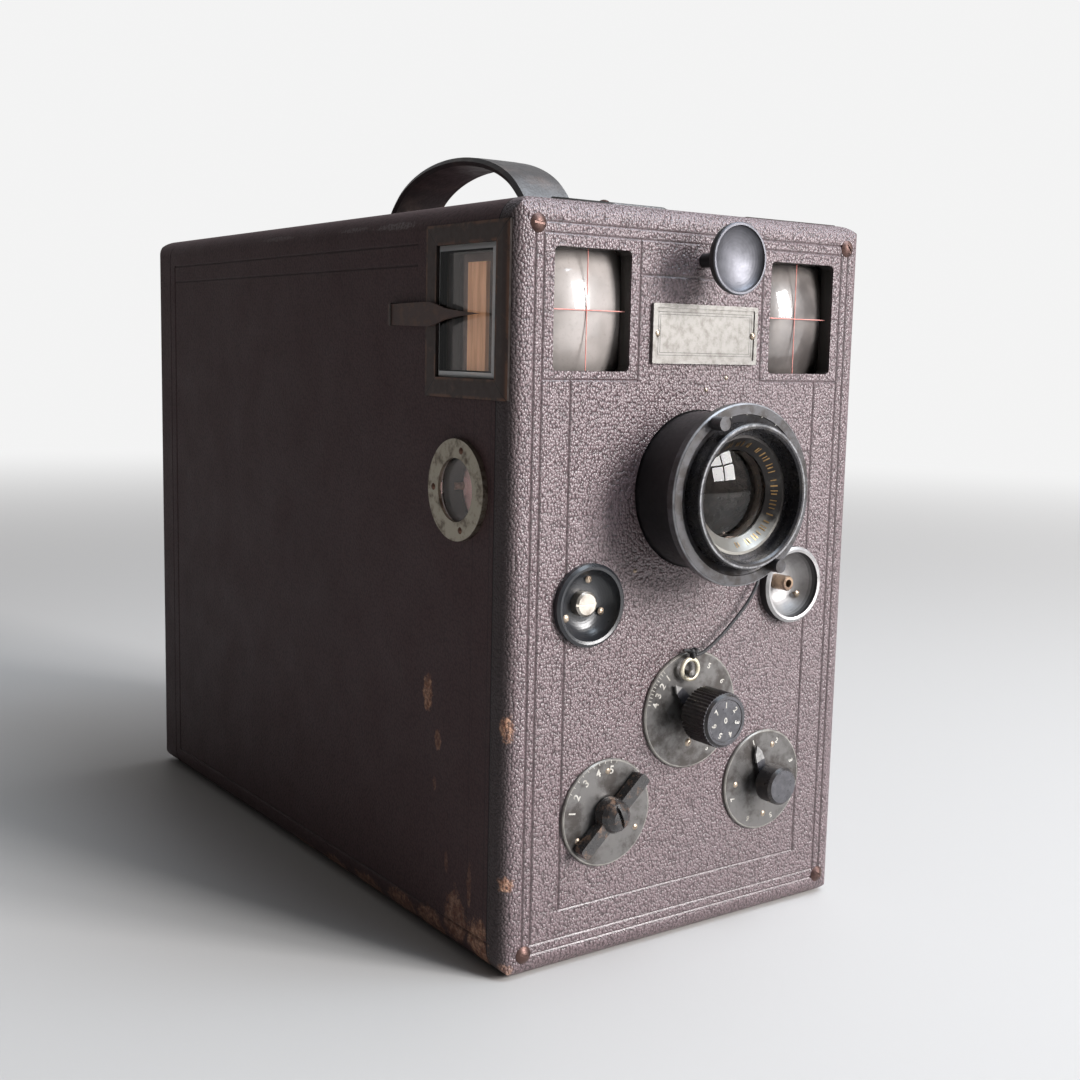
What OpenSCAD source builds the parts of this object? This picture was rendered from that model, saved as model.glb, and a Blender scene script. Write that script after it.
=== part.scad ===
// Box-form magazine camera for glass plates: a leather covered case with all its fittings.
// X runs to the right seen from the front, Y from the front to the back, Z up.
// The origin is the centre of the underside. All lengths are millimetres.

/* [Case] */
// Width of the case over its leather
body_w = 128; // [126:0.5:134]
// Depth of the case from front to back over its leather
body_d = 251; // [249:1:262]
// Height of the case over its leather
body_h = 210; // [209:0.5:214]
// Thickness of the boards
board_t = 7; // [6.5:0.5:7.5]
// Thickness of the leather
leather_t = 0.9; // [0.7:0.1:1.2]
// Radius of the rounded edges of the front and the back
edge_r = 5; // [4:0.5:6]
// Radius of the rounded long edges, from the front to the back
long_r = 7.5; // [6:0.5:8]
// Depth of the rear door
door_d = 15; // [14:0.5:17]
// Gap between the rear door and the case
door_gap = 0.4; // [0.3:0.05:0.6]
// Width of a tooled line in the leather
groove_w = 1.1; // [0.8:0.1:1.2]
// Depth of a tooled line in the leather
groove_depth = 0.35; // [0.2:0.05:0.45]

/* [Lens] */
// Distance of the lens axis below the top
lens_drop = 77.4; // [77:0.1:78.5]
// Outer diameter of the sleeve that stands out of the front
sleeve_od = 44.4; // [43.8:0.2:46]
// Outer diameter of the sliding barrel and its hood
barrel_od = 40; // [39.5:0.1:40.4]
// Length of the sleeve in front of the case
sleeve_out = 16; // [15:0.5:17]
// Length of the hood in front of the sleeve
hood_out = 7.4; // [7:0.2:9]
// Outer diameter of the focusing ring
focus_od = 50.5; // [49.5:0.5:53]
// Thickness of the focusing ring
focus_t = 3; // [2.6:0.2:3.4]
// Diameter of the front glass
glass_d = 25.4; // [24:0.2:26]
// Forward travel of the lens when focusing
focus_travel = 3; // [2:0.5:4]

/* [Controls] */
// Height of the large dial, whose shaft also carries the shutter
stop_z = 68.5; // [67:0.5:69]
// Diameter of the large dial
stop_dial_d = 34.5; // [32:0.5:35]
// Diameter of the large knob
stop_knob_d = 16; // [15:0.5:17]
// Height of the large knob's face above the leather
stop_knob_out = 16; // [14:0.5:18]
// Sideways place of the two small dials
small_dial_x = 30; // [29.5:0.25:31]
// Height of the two small dials
small_dial_z = 42.8; // [40:0.2:44]
// Diameter of the two small dials
small_dial_d = 30.8; // [29:0.2:31]
// Thickness of a dial
dial_t = 1; // [0.8:0.1:1.2]
// Length of the time lever
lever_len = 29; // [26:1:30]
// Diameter of the smooth knob
speed_knob_d = 11.5; // [10:0.5:13]
// Height of the smooth knob's face above the leather
speed_knob_out = 10; // [9:0.5:12]
// Diameter of the control shafts
shaft_d = 5; // [4:0.25:5.5]
// Radial clearance of a running shaft
run_gap = 0.05; // [0.02:0.01:0.08]

/* [Cups and buttons] */
// Sideways place of the release cup and the air cup
cup_x = 38; // [37:0.5:39]
// Height of the two cups
cup_z = 102.5; // [101:0.5:104]
// Outer diameter of a cup
cup_d = 23; // [21:0.5:24]
// Diameter of the release button
release_d = 7; // [6:0.5:8]
// Travel of the release button
release_travel = 2; // [1:0.5:2.5]
// Depth of the changing button's axis below the top
change_drop = 13.5; // [13.2:0.1:14]
// Diameter of the changing button's dish
change_d = 19.5; // [18:0.5:20]
// Height of the changing button's rim above the leather
change_out = 14.5; // [13:0.5:16]
// Travel of the changing button
change_travel = 6; // [4:0.5:6]
// Outer diameter of the air nipple
nipple_d = 4.6; // [4:0.2:5]

/* [Finders] */
// Width of a finder window in the front
finder_w = 25.6; // [24:0.2:26]
// Height of a finder window in the front
finder_h = 32.2; // [31:0.2:33]
// Distance of a finder window's centre from the case's side
finder_inset = 25.2; // [25:0.2:25.8]
// Depth of a finder window's centre below the top
finder_drop = 28.4; // [28:0.2:29]
// Width of a viewing glass, front to back
view_w = 29.4; // [28:0.2:30]
// Length of the side viewing glass, up and down
view_h = 35.6; // [34:0.2:36]
// Width of the flat border of a window frame
frame_border = 5.5; // [5:0.1:5.6]
// Height of the side window's frame above the leather
frame_proud = 0.6; // [0.4:0.1:1]
// Height of the top window's frame above the leather
top_frame_proud = 0.3; // [0.2:0.1:0.6]
// Distance of the top window behind the side window
top_view_back = 3; // [2.8:0.1:4]

/* [Counter] */
// Distance of the counter window's centre behind the front
counter_y = 24.7; // [24:0.5:26]
// Outer diameter of the counter bezel
counter_d = 28; // [26:0.5:29]
// Diameter of the counter glass that shows
counter_glass_d = 17.5; // [16:0.5:19]

/* [Magazine] */
// Width of the rails beside the plate sheaths
rail_w = 9.7; // [9:0.1:11]
// Room between the plate sheaths and the top board
sheath_headroom = 8.5; // [8:0.5:10]
// Thickness of a plate sheath
sheath_t = 3.9; // [3.5:0.1:4]
// Distance from one sheath to the next
sheath_pitch = 4.2; // [4.1:0.02:4.3]
// Distance of the first sheath behind the front
focal_y = 158; // [156:0.5:160]
// Room behind the last sheath for the pusher and its spring
pusher_room = 34; // [33:0.5:35]
// Backward travel of the sprung pusher
pusher_travel = 6; // [4:0.5:8]

/* [Handle] */
// Width of the strap
strap_w = 20; // [16:0.5:24]
// Thickness of the strap
strap_t = 2.8; // [2.2:0.2:3.4]
// Half the span of the strap's arch
strap_a = 41; // [38:0.5:44]
// Rise of the strap's arch above its flat ends
strap_b = 21.8; // [20:0.2:24]
// Distance of the arch's centre behind the front
strap_y = 118.5; // [115:0.5:122]

/* [Hidden] */
$fn = 64;

// Case levels, with depths measured from the front face of the leather
board_back = leather_t + board_t;
inner_x = body_w / 2 - board_back;
inner_top = body_h - board_back;
seam_y = body_d - door_d;
lens_z = body_h - lens_drop;
leather_seam_y = edge_r + 2.6;
panel_y = body_d - board_back;
border_outer = 6.4;
border_inner = 9.1;
panel_x = body_w / 2 - 18.5;
panel_z = 17.2;
finder_x = body_w / 2 - finder_inset;
field_x = finder_x - finder_w / 2 - 3.2;
field_top_drop = 18.4;
side_line_drops = [10.5, 16.3];
side_line_y = 48;
side_panel_gap = 4.6;

// Door furniture
lip_t = 2.5;
lip_out = 4;
lip_gap = 0.5;
hinge_inset = 52;
hinge_heights = [hinge_inset, body_h - hinge_inset];
hinge_len = 24;
hinge_leaf_t = 0.8;
knuckle_r = 1.6;
hinge_x = body_w / 2 + 2;
hinge_pin_r = 0.8;
knuckle_gap = 0.15;
knob_x = 6.1 - inner_x;
knob_z = body_h / 2;
stud_r = 2;
clip_t = 0.8;
clip_half = 8;
clip_w = 4.5;
clip_y = seam_y - lip_out - 0.9 - clip_w;
stud_tip_y = clip_y - 0.5;

// Lens levels
barrel_r = barrel_od / 2;
sleeve_gap = 0.1;
sleeve_in = 16;
sleeve_flange_r = 28;
sleeve_flange_t = 2;
ring_y = -sleeve_out - 0.3;
hood_y = -sleeve_out - hood_out;
hood_wall = 2;
step_y = hood_y + 5;
retainer_r = barrel_r - 3.5;
glass_r = glass_d / 2;
seat_y = step_y + 4.1;
glass_t = 6;
barrel_back = 18;
peg_r = 1.9;
peg_len = 4;
peg_angle = 120;

// Shutter levels
plate_y = 20;
plate_t = 1.5;
stop_sector_y = plate_y + plate_t + 0.7;
sector_t = 1;
shutter_sector_y = stop_sector_y + sector_t + 1;
sector_r = lens_z - stop_z;
sector_half = 10;
aperture_d = 18;
pillar_x = inner_x - 10.1;
pillar_z = [stop_z - 8, lens_z + 17.4];

// Cup levels
release_cup_depth = 3;
nipple_cup_depth = 5;
nipple_shank_r = 1.8;
cup_body_r = cup_d / 2 - 1.5;
cup_back = 1.5;
spring_y = 3.2;
shoulder_t = 1.5;

// Changing gear levels
change_z = body_h - change_drop;
rod_d = 4;
rod_end_y = focal_y - 12;
catch_pivot_x = 15;
catch_t = 4;
catch_nose_x = inner_x - 21.1;
rod_gap = 0.3;
button_neck_y = -change_travel - 0.8;
bushing_flange_r = inner_top - change_z - 0.3;

// Finder levels
finder_z = body_h - finder_drop;
view_y = board_back + view_w / 2;
view_z = finder_z - 0.9;
top_view_y = view_y + top_view_back;
finder_floor_z = finder_z - finder_h / 2 - 4;
finder_back_y = view_y + view_w / 2 + 5;
finder_wall_x = finder_x - finder_w / 2 - 3;
box_wall = 2;
lens_recess = 3;
lens_seat_y = 4.8;
finder_lens_r = 48;
view_ledge = 2;
view_seat = 3;
pane_bevel = 1.6;

// Magazine levels
sheath_gap = 0.4;
rail_x = inner_x - rail_w;
rail_drop = 24.4;
sheath_w = 2 * (rail_x - sheath_gap);
sheath_h = 2 * (inner_top - lens_z - sheath_headroom);
sheaths = floor((panel_y - pusher_room - focal_y) / sheath_pitch);
shelf_top = lens_z - sheath_h / 2;
shelf_t = 5;
pusher_y = focal_y + sheaths * sheath_pitch + 0.3;
pusher_t = 3;
boss_len = 16;
guide_x = sheath_w / 2 - 18;
guide_r = 2;

// Cord from its eyelet in the front to the ring on the large dial, points chosen by eye
cord_d = 1;
cord_route = [
    [25, 5, 107.5], [25, 3, 107.5], [25, 1, 107.5], [24.9, -0.6, 107.3], [24.4, -1.7, 106.4],
    [23.5, -2.3, 104.7], [22.2, -2.5, 102.4], [20.4, -2.5, 99.8], [18.2, -2.5, 97.3],
    [15.6, -2.6, 94.9], [12.7, -2.7, 92.5], [9.6, -2.8, 90.1], [6.4, -2.9, 87.9],
    [3.6, -2.9, 86.2], [1.4, -2.9, 85.3], [-0.6, -2.9, 85.1]
];
ring_x = -2.6;
ring_z = 81.2;
ring_y_place = -2.9;
ring_r = 2.95;
ring_wire_r = 0.66;

// Moves its children to a point, with y measured back from the front of the leather
module at(x, y, z) translate([x, y - body_d / 2, z]) children();

// A cylinder along Y, from y0 to y1
module rod(x, z, d, y0, y1) at(x, y0, z) rotate([-90, 0, 0]) cylinder(d = d, h = y1 - y0);

// A turned part about a line along Y: each point is a radius and a depth
module turned(x, z, points) at(x, 0, z) rotate([-90, 0, 0]) rotate_extrude() polygon(points);

// A block given by its two corners, with y measured from the front
module block(x0, x1, y0, y1, z0, z1) at(x0, y0, z0) cube([x1 - x0, y1 - y0, z1 - z0]);

module rounded_rect(w, h, r) {
    square([w - 2 * r, h], center = true);
    square([w, h - 2 * r], center = true);
    for (sx = [-1, 1], sz = [-1, 1]) translate([sx * (w / 2 - r), sz * (h / 2 - r)]) circle(r);
}

// A rounded plate facing the front, from y0 to y1
module front_pane(x, z, w, h, r, y0, y1)
    at(x, y1, z) rotate([90, 0, 0]) linear_extrude(y1 - y0) rounded_rect(w, h, r);

// The case's outer form, drawn in by inset on every side
module case_form(inset) {
    r = edge_r - inset;
    long_edge = long_r - inset;
    w = body_w - 2 * inset;
    d = body_d - 2 * inset;
    h = body_h - 2 * inset;
    intersection() {
        translate([0, 0, inset]) linear_extrude(h) rounded_rect(w, d, r);
        translate([0, 0, body_h / 2]) rotate([90, 0, 0])
            linear_extrude(2 * body_d, center = true) rounded_rect(w, h, long_edge);
        translate([0, 0, body_h / 2]) rotate([90, 0, 90])
            linear_extrude(2 * body_w, center = true) rounded_rect(d, h, r);
    }
}

module slab(y0, y1) block(-body_w, body_w, y0, y1, -1, body_h + 1);

module skin(y0, y1) intersection() {
    difference() {
        case_form(0);
        case_form(leather_t);
    }
    slab(y0, y1);
}

module wood(x0, x1, y0, y1, z0, z1) intersection() {
    case_form(leather_t);
    block(x0, x1, y0, y1, z0, z1);
}

// A tooled line of V section along X, cut into a face that looks along -Y
module groove(len) rotate([90, 0, 90]) linear_extrude(len) polygon([
    [-1, groove_w / 2], [-1, -groove_w / 2], [0, -groove_w / 2], [groove_depth, 0], [0, groove_w / 2]
]);

// Tooled lines in the front
module line_across(x0, x1, z) at(x0, 0, z) groove(x1 - x0);
module line_up(x, z0, z1) at(x, 0, z0) rotate([0, -90, 0]) groove(z1 - z0);

module front_border(margin) {
    x = body_w / 2 - margin;
    for (z = [margin, body_h - margin]) line_across(-x, x, z);
    for (side = [-1, 1]) line_up(side * x, margin, body_h - margin);
}

module front_lines() {
    field_z = finder_z - finder_h / 2 - 2.3;
    inner_line = body_w / 2 - border_inner;
    front_border(border_outer);
    front_border(border_inner);
    for (side = [-1, 1]) {
        line_up(side * field_x, field_z, body_h - border_inner);
        line_up(side * panel_x, panel_z, field_z);
        line_across(side < 0 ? -inner_line : field_x, side < 0 ? -field_x : inner_line, field_z);
    }
    line_across(-field_x, field_x, body_h - field_top_drop);
    line_across(-panel_x, panel_x, panel_z);
}

// Tooled lines in both sides
module side_lines() for (side = [-1, 1]) scale([side, 1, 1]) {
    back = seam_y - side_panel_gap;
    for (drop = side_line_drops) side_line_along(side_line_y, back, body_h - drop);
    side_line_along(leather_seam_y, back, border_inner);
    at(body_w / 2, back, border_inner) rotate([0, -90, 90])
        groove(body_h - side_line_drops[0] - border_inner);
}

module side_line_along(y0, y1, z) at(body_w / 2, y0, z) rotate([0, 0, 90]) groove(y1 - y0);

// Holes through the front leather and the front board
module front_holes(slack) {
    rod(0, lens_z, sleeve_od + 2 * sleeve_gap + slack, -1, board_back + 1);
    for (side = [-1, 1]) {
        front_pane(side * finder_x, finder_z, finder_w, finder_h, 1.5, -1, board_back + 1);
        rod(side * cup_x, cup_z, 2 * cup_body_r + 0.2, -1,
            (side < 0 ? release_cup_depth : nipple_cup_depth) + cup_back + 0.1);
    }
    rod(0, stop_z, shaft_d + 2 * run_gap + slack, -1, board_back + 1);
    rod(-small_dial_x, small_dial_z, shaft_d + 2 * run_gap + slack, -1, board_back + 1);
    rod(small_dial_x, small_dial_z, shaft_d + 2 * run_gap + slack, -1, board_back + 1);
    rod(0, change_z, rod_d + 5, -1, board_back + 1);
    rod(cord_route[0][0], cord_route[0][2], cord_d + 0.8, -1, board_back + 1);
}

// Case
module front_board() color("sienna") difference() {
    wood(-body_w, body_w, leather_t, board_back, 0, body_h);
    front_holes(0);
    for (side = [-1, 1])
        front_pane(side * finder_x, finder_z, finder_w + 4, finder_h + 4, 2, lens_seat_y, board_back + 1);
    rod(-cup_x, cup_z, release_d + 2 * run_gap + 0.4, -1, board_back - shoulder_t);
    rod(-cup_x, cup_z, 3.2, -1, board_back + 1);
    rod(cup_x, cup_z, 2 * nipple_shank_r + 0.1, -1, board_back + 1);
}

module side_board(side) {
    difference() {
        wood(side < 0 ? -body_w : inner_x, side < 0 ? -inner_x : body_w,
             board_back, seam_y, 0, body_h);
        if (side < 0) {
            side_window(view_w - 2 * view_ledge, view_h - 2 * view_ledge, 0, board_back + 1);
            side_window(view_w + 0.4, view_h + 0.4, 0, leather_t + view_seat);
            side_bore(counter_y, lens_z, counter_glass_d + 1.5, 0, board_back + 1);
        }
    }
}

module left_board() color("sienna") side_board(-1);
module right_board() color("sienna") side_board(1);

module top_board() color("sienna") difference() {
    wood(-inner_x, inner_x, board_back, seam_y, inner_top, body_h);
    top_window(finder_w - 2 * view_ledge, view_w - 2 * view_ledge, 0, board_back + 1);
    top_window(finder_w + 0.4, view_w + 0.4, 0, leather_t + view_seat);
}

module base_board() color("sienna") difference() {
    wood(-inner_x, inner_x, board_back, seam_y, 0, board_back);
    at(0, bush_y, -1) cylinder(r = bush_r, h = board_back + 2);
}

module front_leather() color("#4a3d42") difference() {
    skin(0, leather_seam_y);
    front_holes(0.6);
    front_lines();
    side_window(view_w + 2 * frame_border, view_h + 2 * frame_border, -1, leather_t + 1);
    top_window(finder_w + 2 * frame_border, view_w + 2 * frame_border, -1, leather_t + 1);
}

module body_leather() color("#3f3438") difference() {
    skin(leather_seam_y, seam_y);
    base_sheet();
    side_lines();
    side_window(view_w + 2 * frame_border, view_h + 2 * frame_border, -1, leather_t + 1);
    top_window(finder_w + 2 * frame_border, view_w + 2 * frame_border, -1, leather_t + 1);
    side_bore(counter_y, lens_z, counter_glass_d + 1.5, -1, leather_t + 1);
}

module base_sheet()
    block(long_r - body_w / 2, body_w / 2 - long_r, leather_seam_y, seam_y, 0, leather_t);

module base_leather() color("#33292d") difference() {
    base_sheet();
    at(0, bush_y, -1) cylinder(r = bush_flange_r, h = leather_t + 2);
}

// A slotted domed screw facing the front, its head on depth y
module front_screw(x, z, y, d, turn) difference() {
    union() {
        intersection() {
            at(x, y + d * 0.5, z) sphere(r = d * 0.72);
            rod(x, z, d, y - d, y);
        }
        rod(x, z, d * 0.45, y, y + d * 1.2);
    }
    at(x, y - d * 0.14, z) rotate([0, turn, 0]) translate([-d, -d, -d * 0.07]) cube([2 * d, d, d * 0.14]);
}

corner_screw_d = 4.9;
corner_screw_inset = 7;
tab_screw_d = 3.2;
tab_screw_rise = 0.6;

module case_screws() color("peru") {
    for (side = [-1, 1], z = [corner_screw_inset, body_h - corner_screw_inset])
        front_screw(side * (body_w / 2 - corner_screw_inset), z, 0, corner_screw_d, 30 + z * side);
    for (end = [-1, 1]) {
        seat = tab_height(tab_mid);
        tab_y = strap_y + end * (strap_a + tab_mid);
        at(0, tab_y, body_h + strap_t + seat) intersection() {
            translate([0, 0, tab_screw_rise - tab_screw_d * 0.8]) sphere(r = tab_screw_d * 0.8);
            cylinder(d = tab_screw_d, h = 3);
        }
        at(0, tab_y, body_h - board_t) cylinder(d = 2, h = board_t + strap_t + seat);
    }
}

bush_y = 80;
bush_r = 7;
bush_flange_r = 11;
bush_thread_r = 4.76;
bush_depth = 6.5;

module tripod_bush() color("goldenrod") difference() {
    union() {
        at(0, bush_y, 0.1) cylinder(r = bush_flange_r, h = leather_t - 0.1);
        at(0, bush_y, leather_t) cylinder(r = bush_r - 0.05, h = board_t);
    }
    at(0, bush_y, -1) cylinder(r = bush_thread_r, h = bush_depth + 1);
}

// Rear door
door_line_inset = 10;

module rear_door() color("sienna") difference() {
    union() {
        wood(-body_w, body_w, seam_y + door_gap, body_d, 0, body_h);
        lip_x = inner_x - lip_gap;
        difference() {
            block(-lip_x, lip_x, seam_y - lip_out, panel_y, board_back + lip_gap, inner_top - lip_gap);
            block(lip_t - lip_x, lip_x - lip_t, seam_y - lip_out - 1, panel_y,
                  board_back + lip_gap + lip_t, inner_top - lip_gap - lip_t);
        }
    }
    block(-inner_x + lip_gap + lip_t, inner_x - lip_gap - lip_t, seam_y - lip_out - 1, panel_y,
          board_back + lip_gap + lip_t, inner_top - lip_gap - lip_t);
    rod(knob_x, knob_z, 2 * stud_r + 0.2, seam_y, body_d + 1);
}

module rear_door_leather() color("#3a3034") difference() {
    skin(seam_y + door_gap, body_d);
    rod(knob_x, knob_z, 2 * stud_r + 0.4, seam_y, body_d + 1);
    difference() {
        door_field(door_line_inset, body_d - groove_depth);
        door_field(door_line_inset + groove_w / 2, body_d - 1);
    }
}

module door_field(inset, y0)
    block(inset - body_w / 2, body_w / 2 - inset, y0, body_d + 1, inset, body_h - inset);

// One leaf of a butt hinge on the right side, towards the front or the back of the seam
module hinge_leaf(z, toward, knuckles) {
    third = hinge_len / 3;
    axis_y = seam_y + door_gap / 2;
    leaf_w = min(door_d, 14) - 2.6;
    difference() {
        union() {
            block(body_w / 2, body_w / 2 + hinge_leaf_t,
                  toward > 0 ? axis_y + 1.9 : axis_y - 1.9 - leaf_w,
                  toward > 0 ? axis_y + 1.9 + leaf_w : axis_y - 1.9, z - hinge_len / 2, z + hinge_len / 2);
            for (k = knuckles) {
                z0 = z - hinge_len / 2 + k * third + knuckle_gap / 2;
                at(hinge_x, axis_y, z0) cylinder(r = knuckle_r, h = third - knuckle_gap, $fn = 32);
                block(body_w / 2 + 0.3, hinge_x - 1, toward > 0 ? axis_y : axis_y - 2,
                      toward > 0 ? axis_y + 2 : axis_y, z0, z0 + third - knuckle_gap);
            }
        }
        at(hinge_x, axis_y, z - hinge_len) cylinder(r = hinge_pin_r + run_gap, h = 2 * hinge_len, $fn = 32);
    }
    for (dz = [-8, 8])
        at(body_w / 2 + hinge_leaf_t, axis_y + toward * 8, z + dz) rotate([0, 90, 0])
            cylinder(r1 = 1.6, r2 = 1.1, h = 0.5, $fn = 32);
}

module door_hinge_leaves() color("goldenrod") for (z = hinge_heights) hinge_leaf(z, 1, [1]);
module body_hinge_leaves() color("goldenrod") for (z = hinge_heights) hinge_leaf(z, -1, [0, 2]);

module hinge_pins() color("silver") for (z = hinge_heights)
    at(hinge_x, seam_y + door_gap / 2, z - hinge_len / 2) cylinder(r = hinge_pin_r, h = hinge_len, $fn = 32);

// The knob outside the rear door and the stud inside it are one turned piece
module door_knob() color("silver") turned(knob_x, knob_z, [
    [0, stud_tip_y], [stud_r - 0.8, stud_tip_y], [stud_r, stud_tip_y + 1.5],
    [stud_r, body_d], [4.5, body_d], [4.5, body_d + 0.8], [2.6, body_d + 1.6], [2.6, body_d + 3],
    [4.6, body_d + 4.2], [5, body_d + 5], [4.6, body_d + 5.8], [3, body_d + 6.4], [0, body_d + 6.5]
]);

// Spring clip on the left board that grips the stud
module catch_clip() color("goldenrod") {
    fork_z = stud_r + 0.3;
    block(-inner_x, clip_t - inner_x, clip_y, clip_y + clip_w, knob_z - clip_half, knob_z + clip_half);
    for (side = [-1, 1]) {
        near = knob_z + side * fork_z;
        far = near + side * clip_t;
        block(clip_t - inner_x, knob_x + 3.5, clip_y, clip_y + clip_w, min(near, far), max(near, far));
    }
}

// Handle
arch_steps = 24;
tab_len = 33;
tab_mid = 31;
tab_start = 15.5;
tab_rise = 5;
tab_tip = 0.9;

function arch(a, b, grow) = [for (i = [0:arch_steps])
    let (t = 180 * i / arch_steps) [(a + grow) * cos(t), (b + grow) * sin(t)]];

// Height of a tab's sloping top at a distance beyond the foot of the arch
function tab_height(s) = tab_rise - (tab_rise - tab_tip) * (s - tab_start) / tab_len;

module strap_handle() color("#1d1b1c") {
    base = body_h + strap_t;
    at(-strap_w / 2, strap_y, base) rotate([90, 0, 90]) linear_extrude(strap_w) difference() {
        polygon(arch(strap_a, strap_b - strap_t, strap_t));
        polygon(concat(arch(strap_a, strap_b - strap_t, 0), [[-strap_a, -1], [strap_a, -1]]));
    }
    for (end = [-1, 1]) {
        near = strap_y + end * strap_a;
        far = near + end * (tab_start + tab_len - 4);
        block(-strap_w / 2, strap_w / 2, min(near, far), max(near, far), body_h, base);
    }
}

module strap_tabs() color("#2b2527") for (end = [-1, 1])
    at(0, strap_y, body_h + strap_t) scale([1, end, 1]) translate([-strap_w / 2 - 1, strap_a, 0])
        rotate([90, 0, 90]) linear_extrude(strap_w + 2) polygon([
            [tab_start, 0], [tab_start + tab_len, 0], [tab_start + tab_len, tab_tip],
            [tab_start + 1.2, tab_rise], [tab_start, tab_rise - 1.2]
        ]);

// Name plate, left blank
plate_x = 0.8;
plate_w = 2 * (field_x - 3.3);
plate_h = 16.4;
plate_drop = 33.9;
plate_border = 1.2;
plate_sink = 0.35;
pin_points = [[2.2, lens_z + 28.1], [9.7, lens_z + 31.5], [-21.7, lens_z - 22]];

module name_plate() color("silver") difference() {
    front_pane(plate_x, body_h - plate_drop, plate_w, plate_h, 0.4, -1, 0);
    front_pane(plate_x, body_h - plate_drop, plate_w - 2 * plate_border, plate_h - 2 * plate_border,
        0.3, -2, plate_sink - 1);
}

module plate_pins() color("gold") {
    for (side = [-1, 1])
        nail(plate_x + side * (plate_w / 2 - 1.6), body_h - plate_drop, plate_sink - 1, 2.2);
    for (p = pin_points) nail(p[0], p[1], 0, 1.3);
}

module nail(x, z, y, d) {
    intersection() {
        at(x, y + d * 0.3, z) sphere(r = d * 0.6, $fn = 24);
        rod(x, z, d, y - d, y);
    }
    rod(x, z, d * 0.5, y, y + 3);
}

// Finders
module side_window(w, h, x0, x1)
    at(x0 - body_w / 2, view_y, view_z) rotate([90, 0, 90]) linear_extrude(x1 - x0)
        square([w, h], center = true);

module top_window(w, d, z0, z1)
    at(finder_x, top_view_y, body_h - z1) linear_extrude(z1 - z0) square([w, d], center = true);

module side_bore(y, z, d, x0, x1) at(x0 - body_w / 2, y, z) rotate([0, 90, 0]) cylinder(d = d, h = x1 - x0);

// Flat frames that follow the case's rounded edges
module window_frames() color("#37312f") {
    difference() {
        intersection() {
            side_window(view_w + 2 * frame_border - 0.2, view_h + 2 * frame_border - 0.2, -2, leather_t);
            case_form(-frame_proud);
        }
        side_window(view_w, view_h, -3, leather_t + 1);
    }
    difference() {
        intersection() {
            top_window(finder_w + 2 * frame_border - 0.2, view_w + 2 * frame_border - 0.2, -2, leather_t);
            case_form(-top_frame_proud);
        }
        top_window(finder_w, view_w, -3, leather_t + 1);
    }
}

// A pane with bevelled front edges, lying in X and Y with its face up
module bevelled_pane(w, d, t, bevel) intersection() {
    rotate([90, 0, 0]) linear_extrude(d, center = true) pane_section(w, t, bevel);
    rotate([90, 0, 90]) linear_extrude(w, center = true) pane_section(d, t, bevel);
}

module pane_section(w, t, bevel) polygon([
    [-w / 2, 0], [w / 2, 0], [w / 2, t - bevel * 0.5], [w / 2 - bevel, t], [bevel - w / 2, t],
    [-w / 2, t - bevel * 0.5]
]);

module window_glasses() color("lightcyan", 0.4) {
    seat = leather_t + view_seat;
    at(seat - body_w / 2, view_y, view_z) rotate([0, -90, 0])
        bevelled_pane(view_h - 0.2, view_w - 0.2, seat + frame_proud * 0.6, pane_bevel);
    at(finder_x, top_view_y, body_h - seat)
        bevelled_pane(finder_w - 0.2, view_w - 0.2, seat + top_frame_proud * 0.6, pane_bevel);
    at(bezel_t * -0.4 - body_w / 2, counter_y, lens_z) rotate([0, 90, 0])
        cylinder(d = counter_glass_d + 1.3, h = 1.6);
}

// Rounded glasses that stand out into the openings, with a flange behind the front board's rim
module finder_lenses() color("lightcyan", 0.4) for (side = [-1, 1]) intersection() {
    union() {
        front_pane(side * finder_x, finder_z, finder_w - 0.3, finder_h - 0.3, 1.35, 0, board_back - 0.1);
        front_pane(side * finder_x, finder_z, finder_w + 3.8, finder_h + 3.8, 1.9,
            lens_seat_y, board_back - 0.1);
    }
    at(side * finder_x, lens_recess + finder_lens_r, finder_z) sphere(r = finder_lens_r, $fn = 320);
}

module finder_mirrors() color("silver") {
    mirror_len = view_w + 8;
    mirror_h = inner_top - finder_floor_z - 3;
    at(-finder_x - 1, view_y + 2, finder_floor_z) rotate([0, 0, 135])
        translate([-mirror_len / 2, -1, 0]) cube([mirror_len, 2, mirror_h]);
    at(finder_wall_x + box_wall + 0.1, view_y + 2, finder_z) rotate([45, 0, 0])
        translate([0, -mirror_len / 2, -1]) cube([inner_x - finder_wall_x - box_wall - 0.2, mirror_len, 2]);
}

module finder_boxes() color("#1c1a1a") for (side = [-1, 1]) scale([side, 1, 1]) {
    block(finder_wall_x, inner_x, board_back, finder_back_y, finder_floor_z - box_wall, finder_floor_z);
    block(finder_wall_x, finder_wall_x + box_wall, board_back, finder_back_y, finder_floor_z, inner_top);
    block(finder_wall_x + box_wall, inner_x, finder_back_y - box_wall, finder_back_y,
          finder_floor_z, inner_top);
}

pointer_t = 0.7;
pointer_lift = 1.1;
pointer_tip_y = 14;
pointer_base_y = 62;
pointer_w = 6.8;

// Distance from the foot, and half width as a share of the width
pointer_outline = [[0, 0.43], [19, 0.49], [22, 0.5], [24.5, 0.46], [27.5, 0.35], [31, 0.23],
    [34.5, 0.15], [41, 0.07]];

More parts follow.
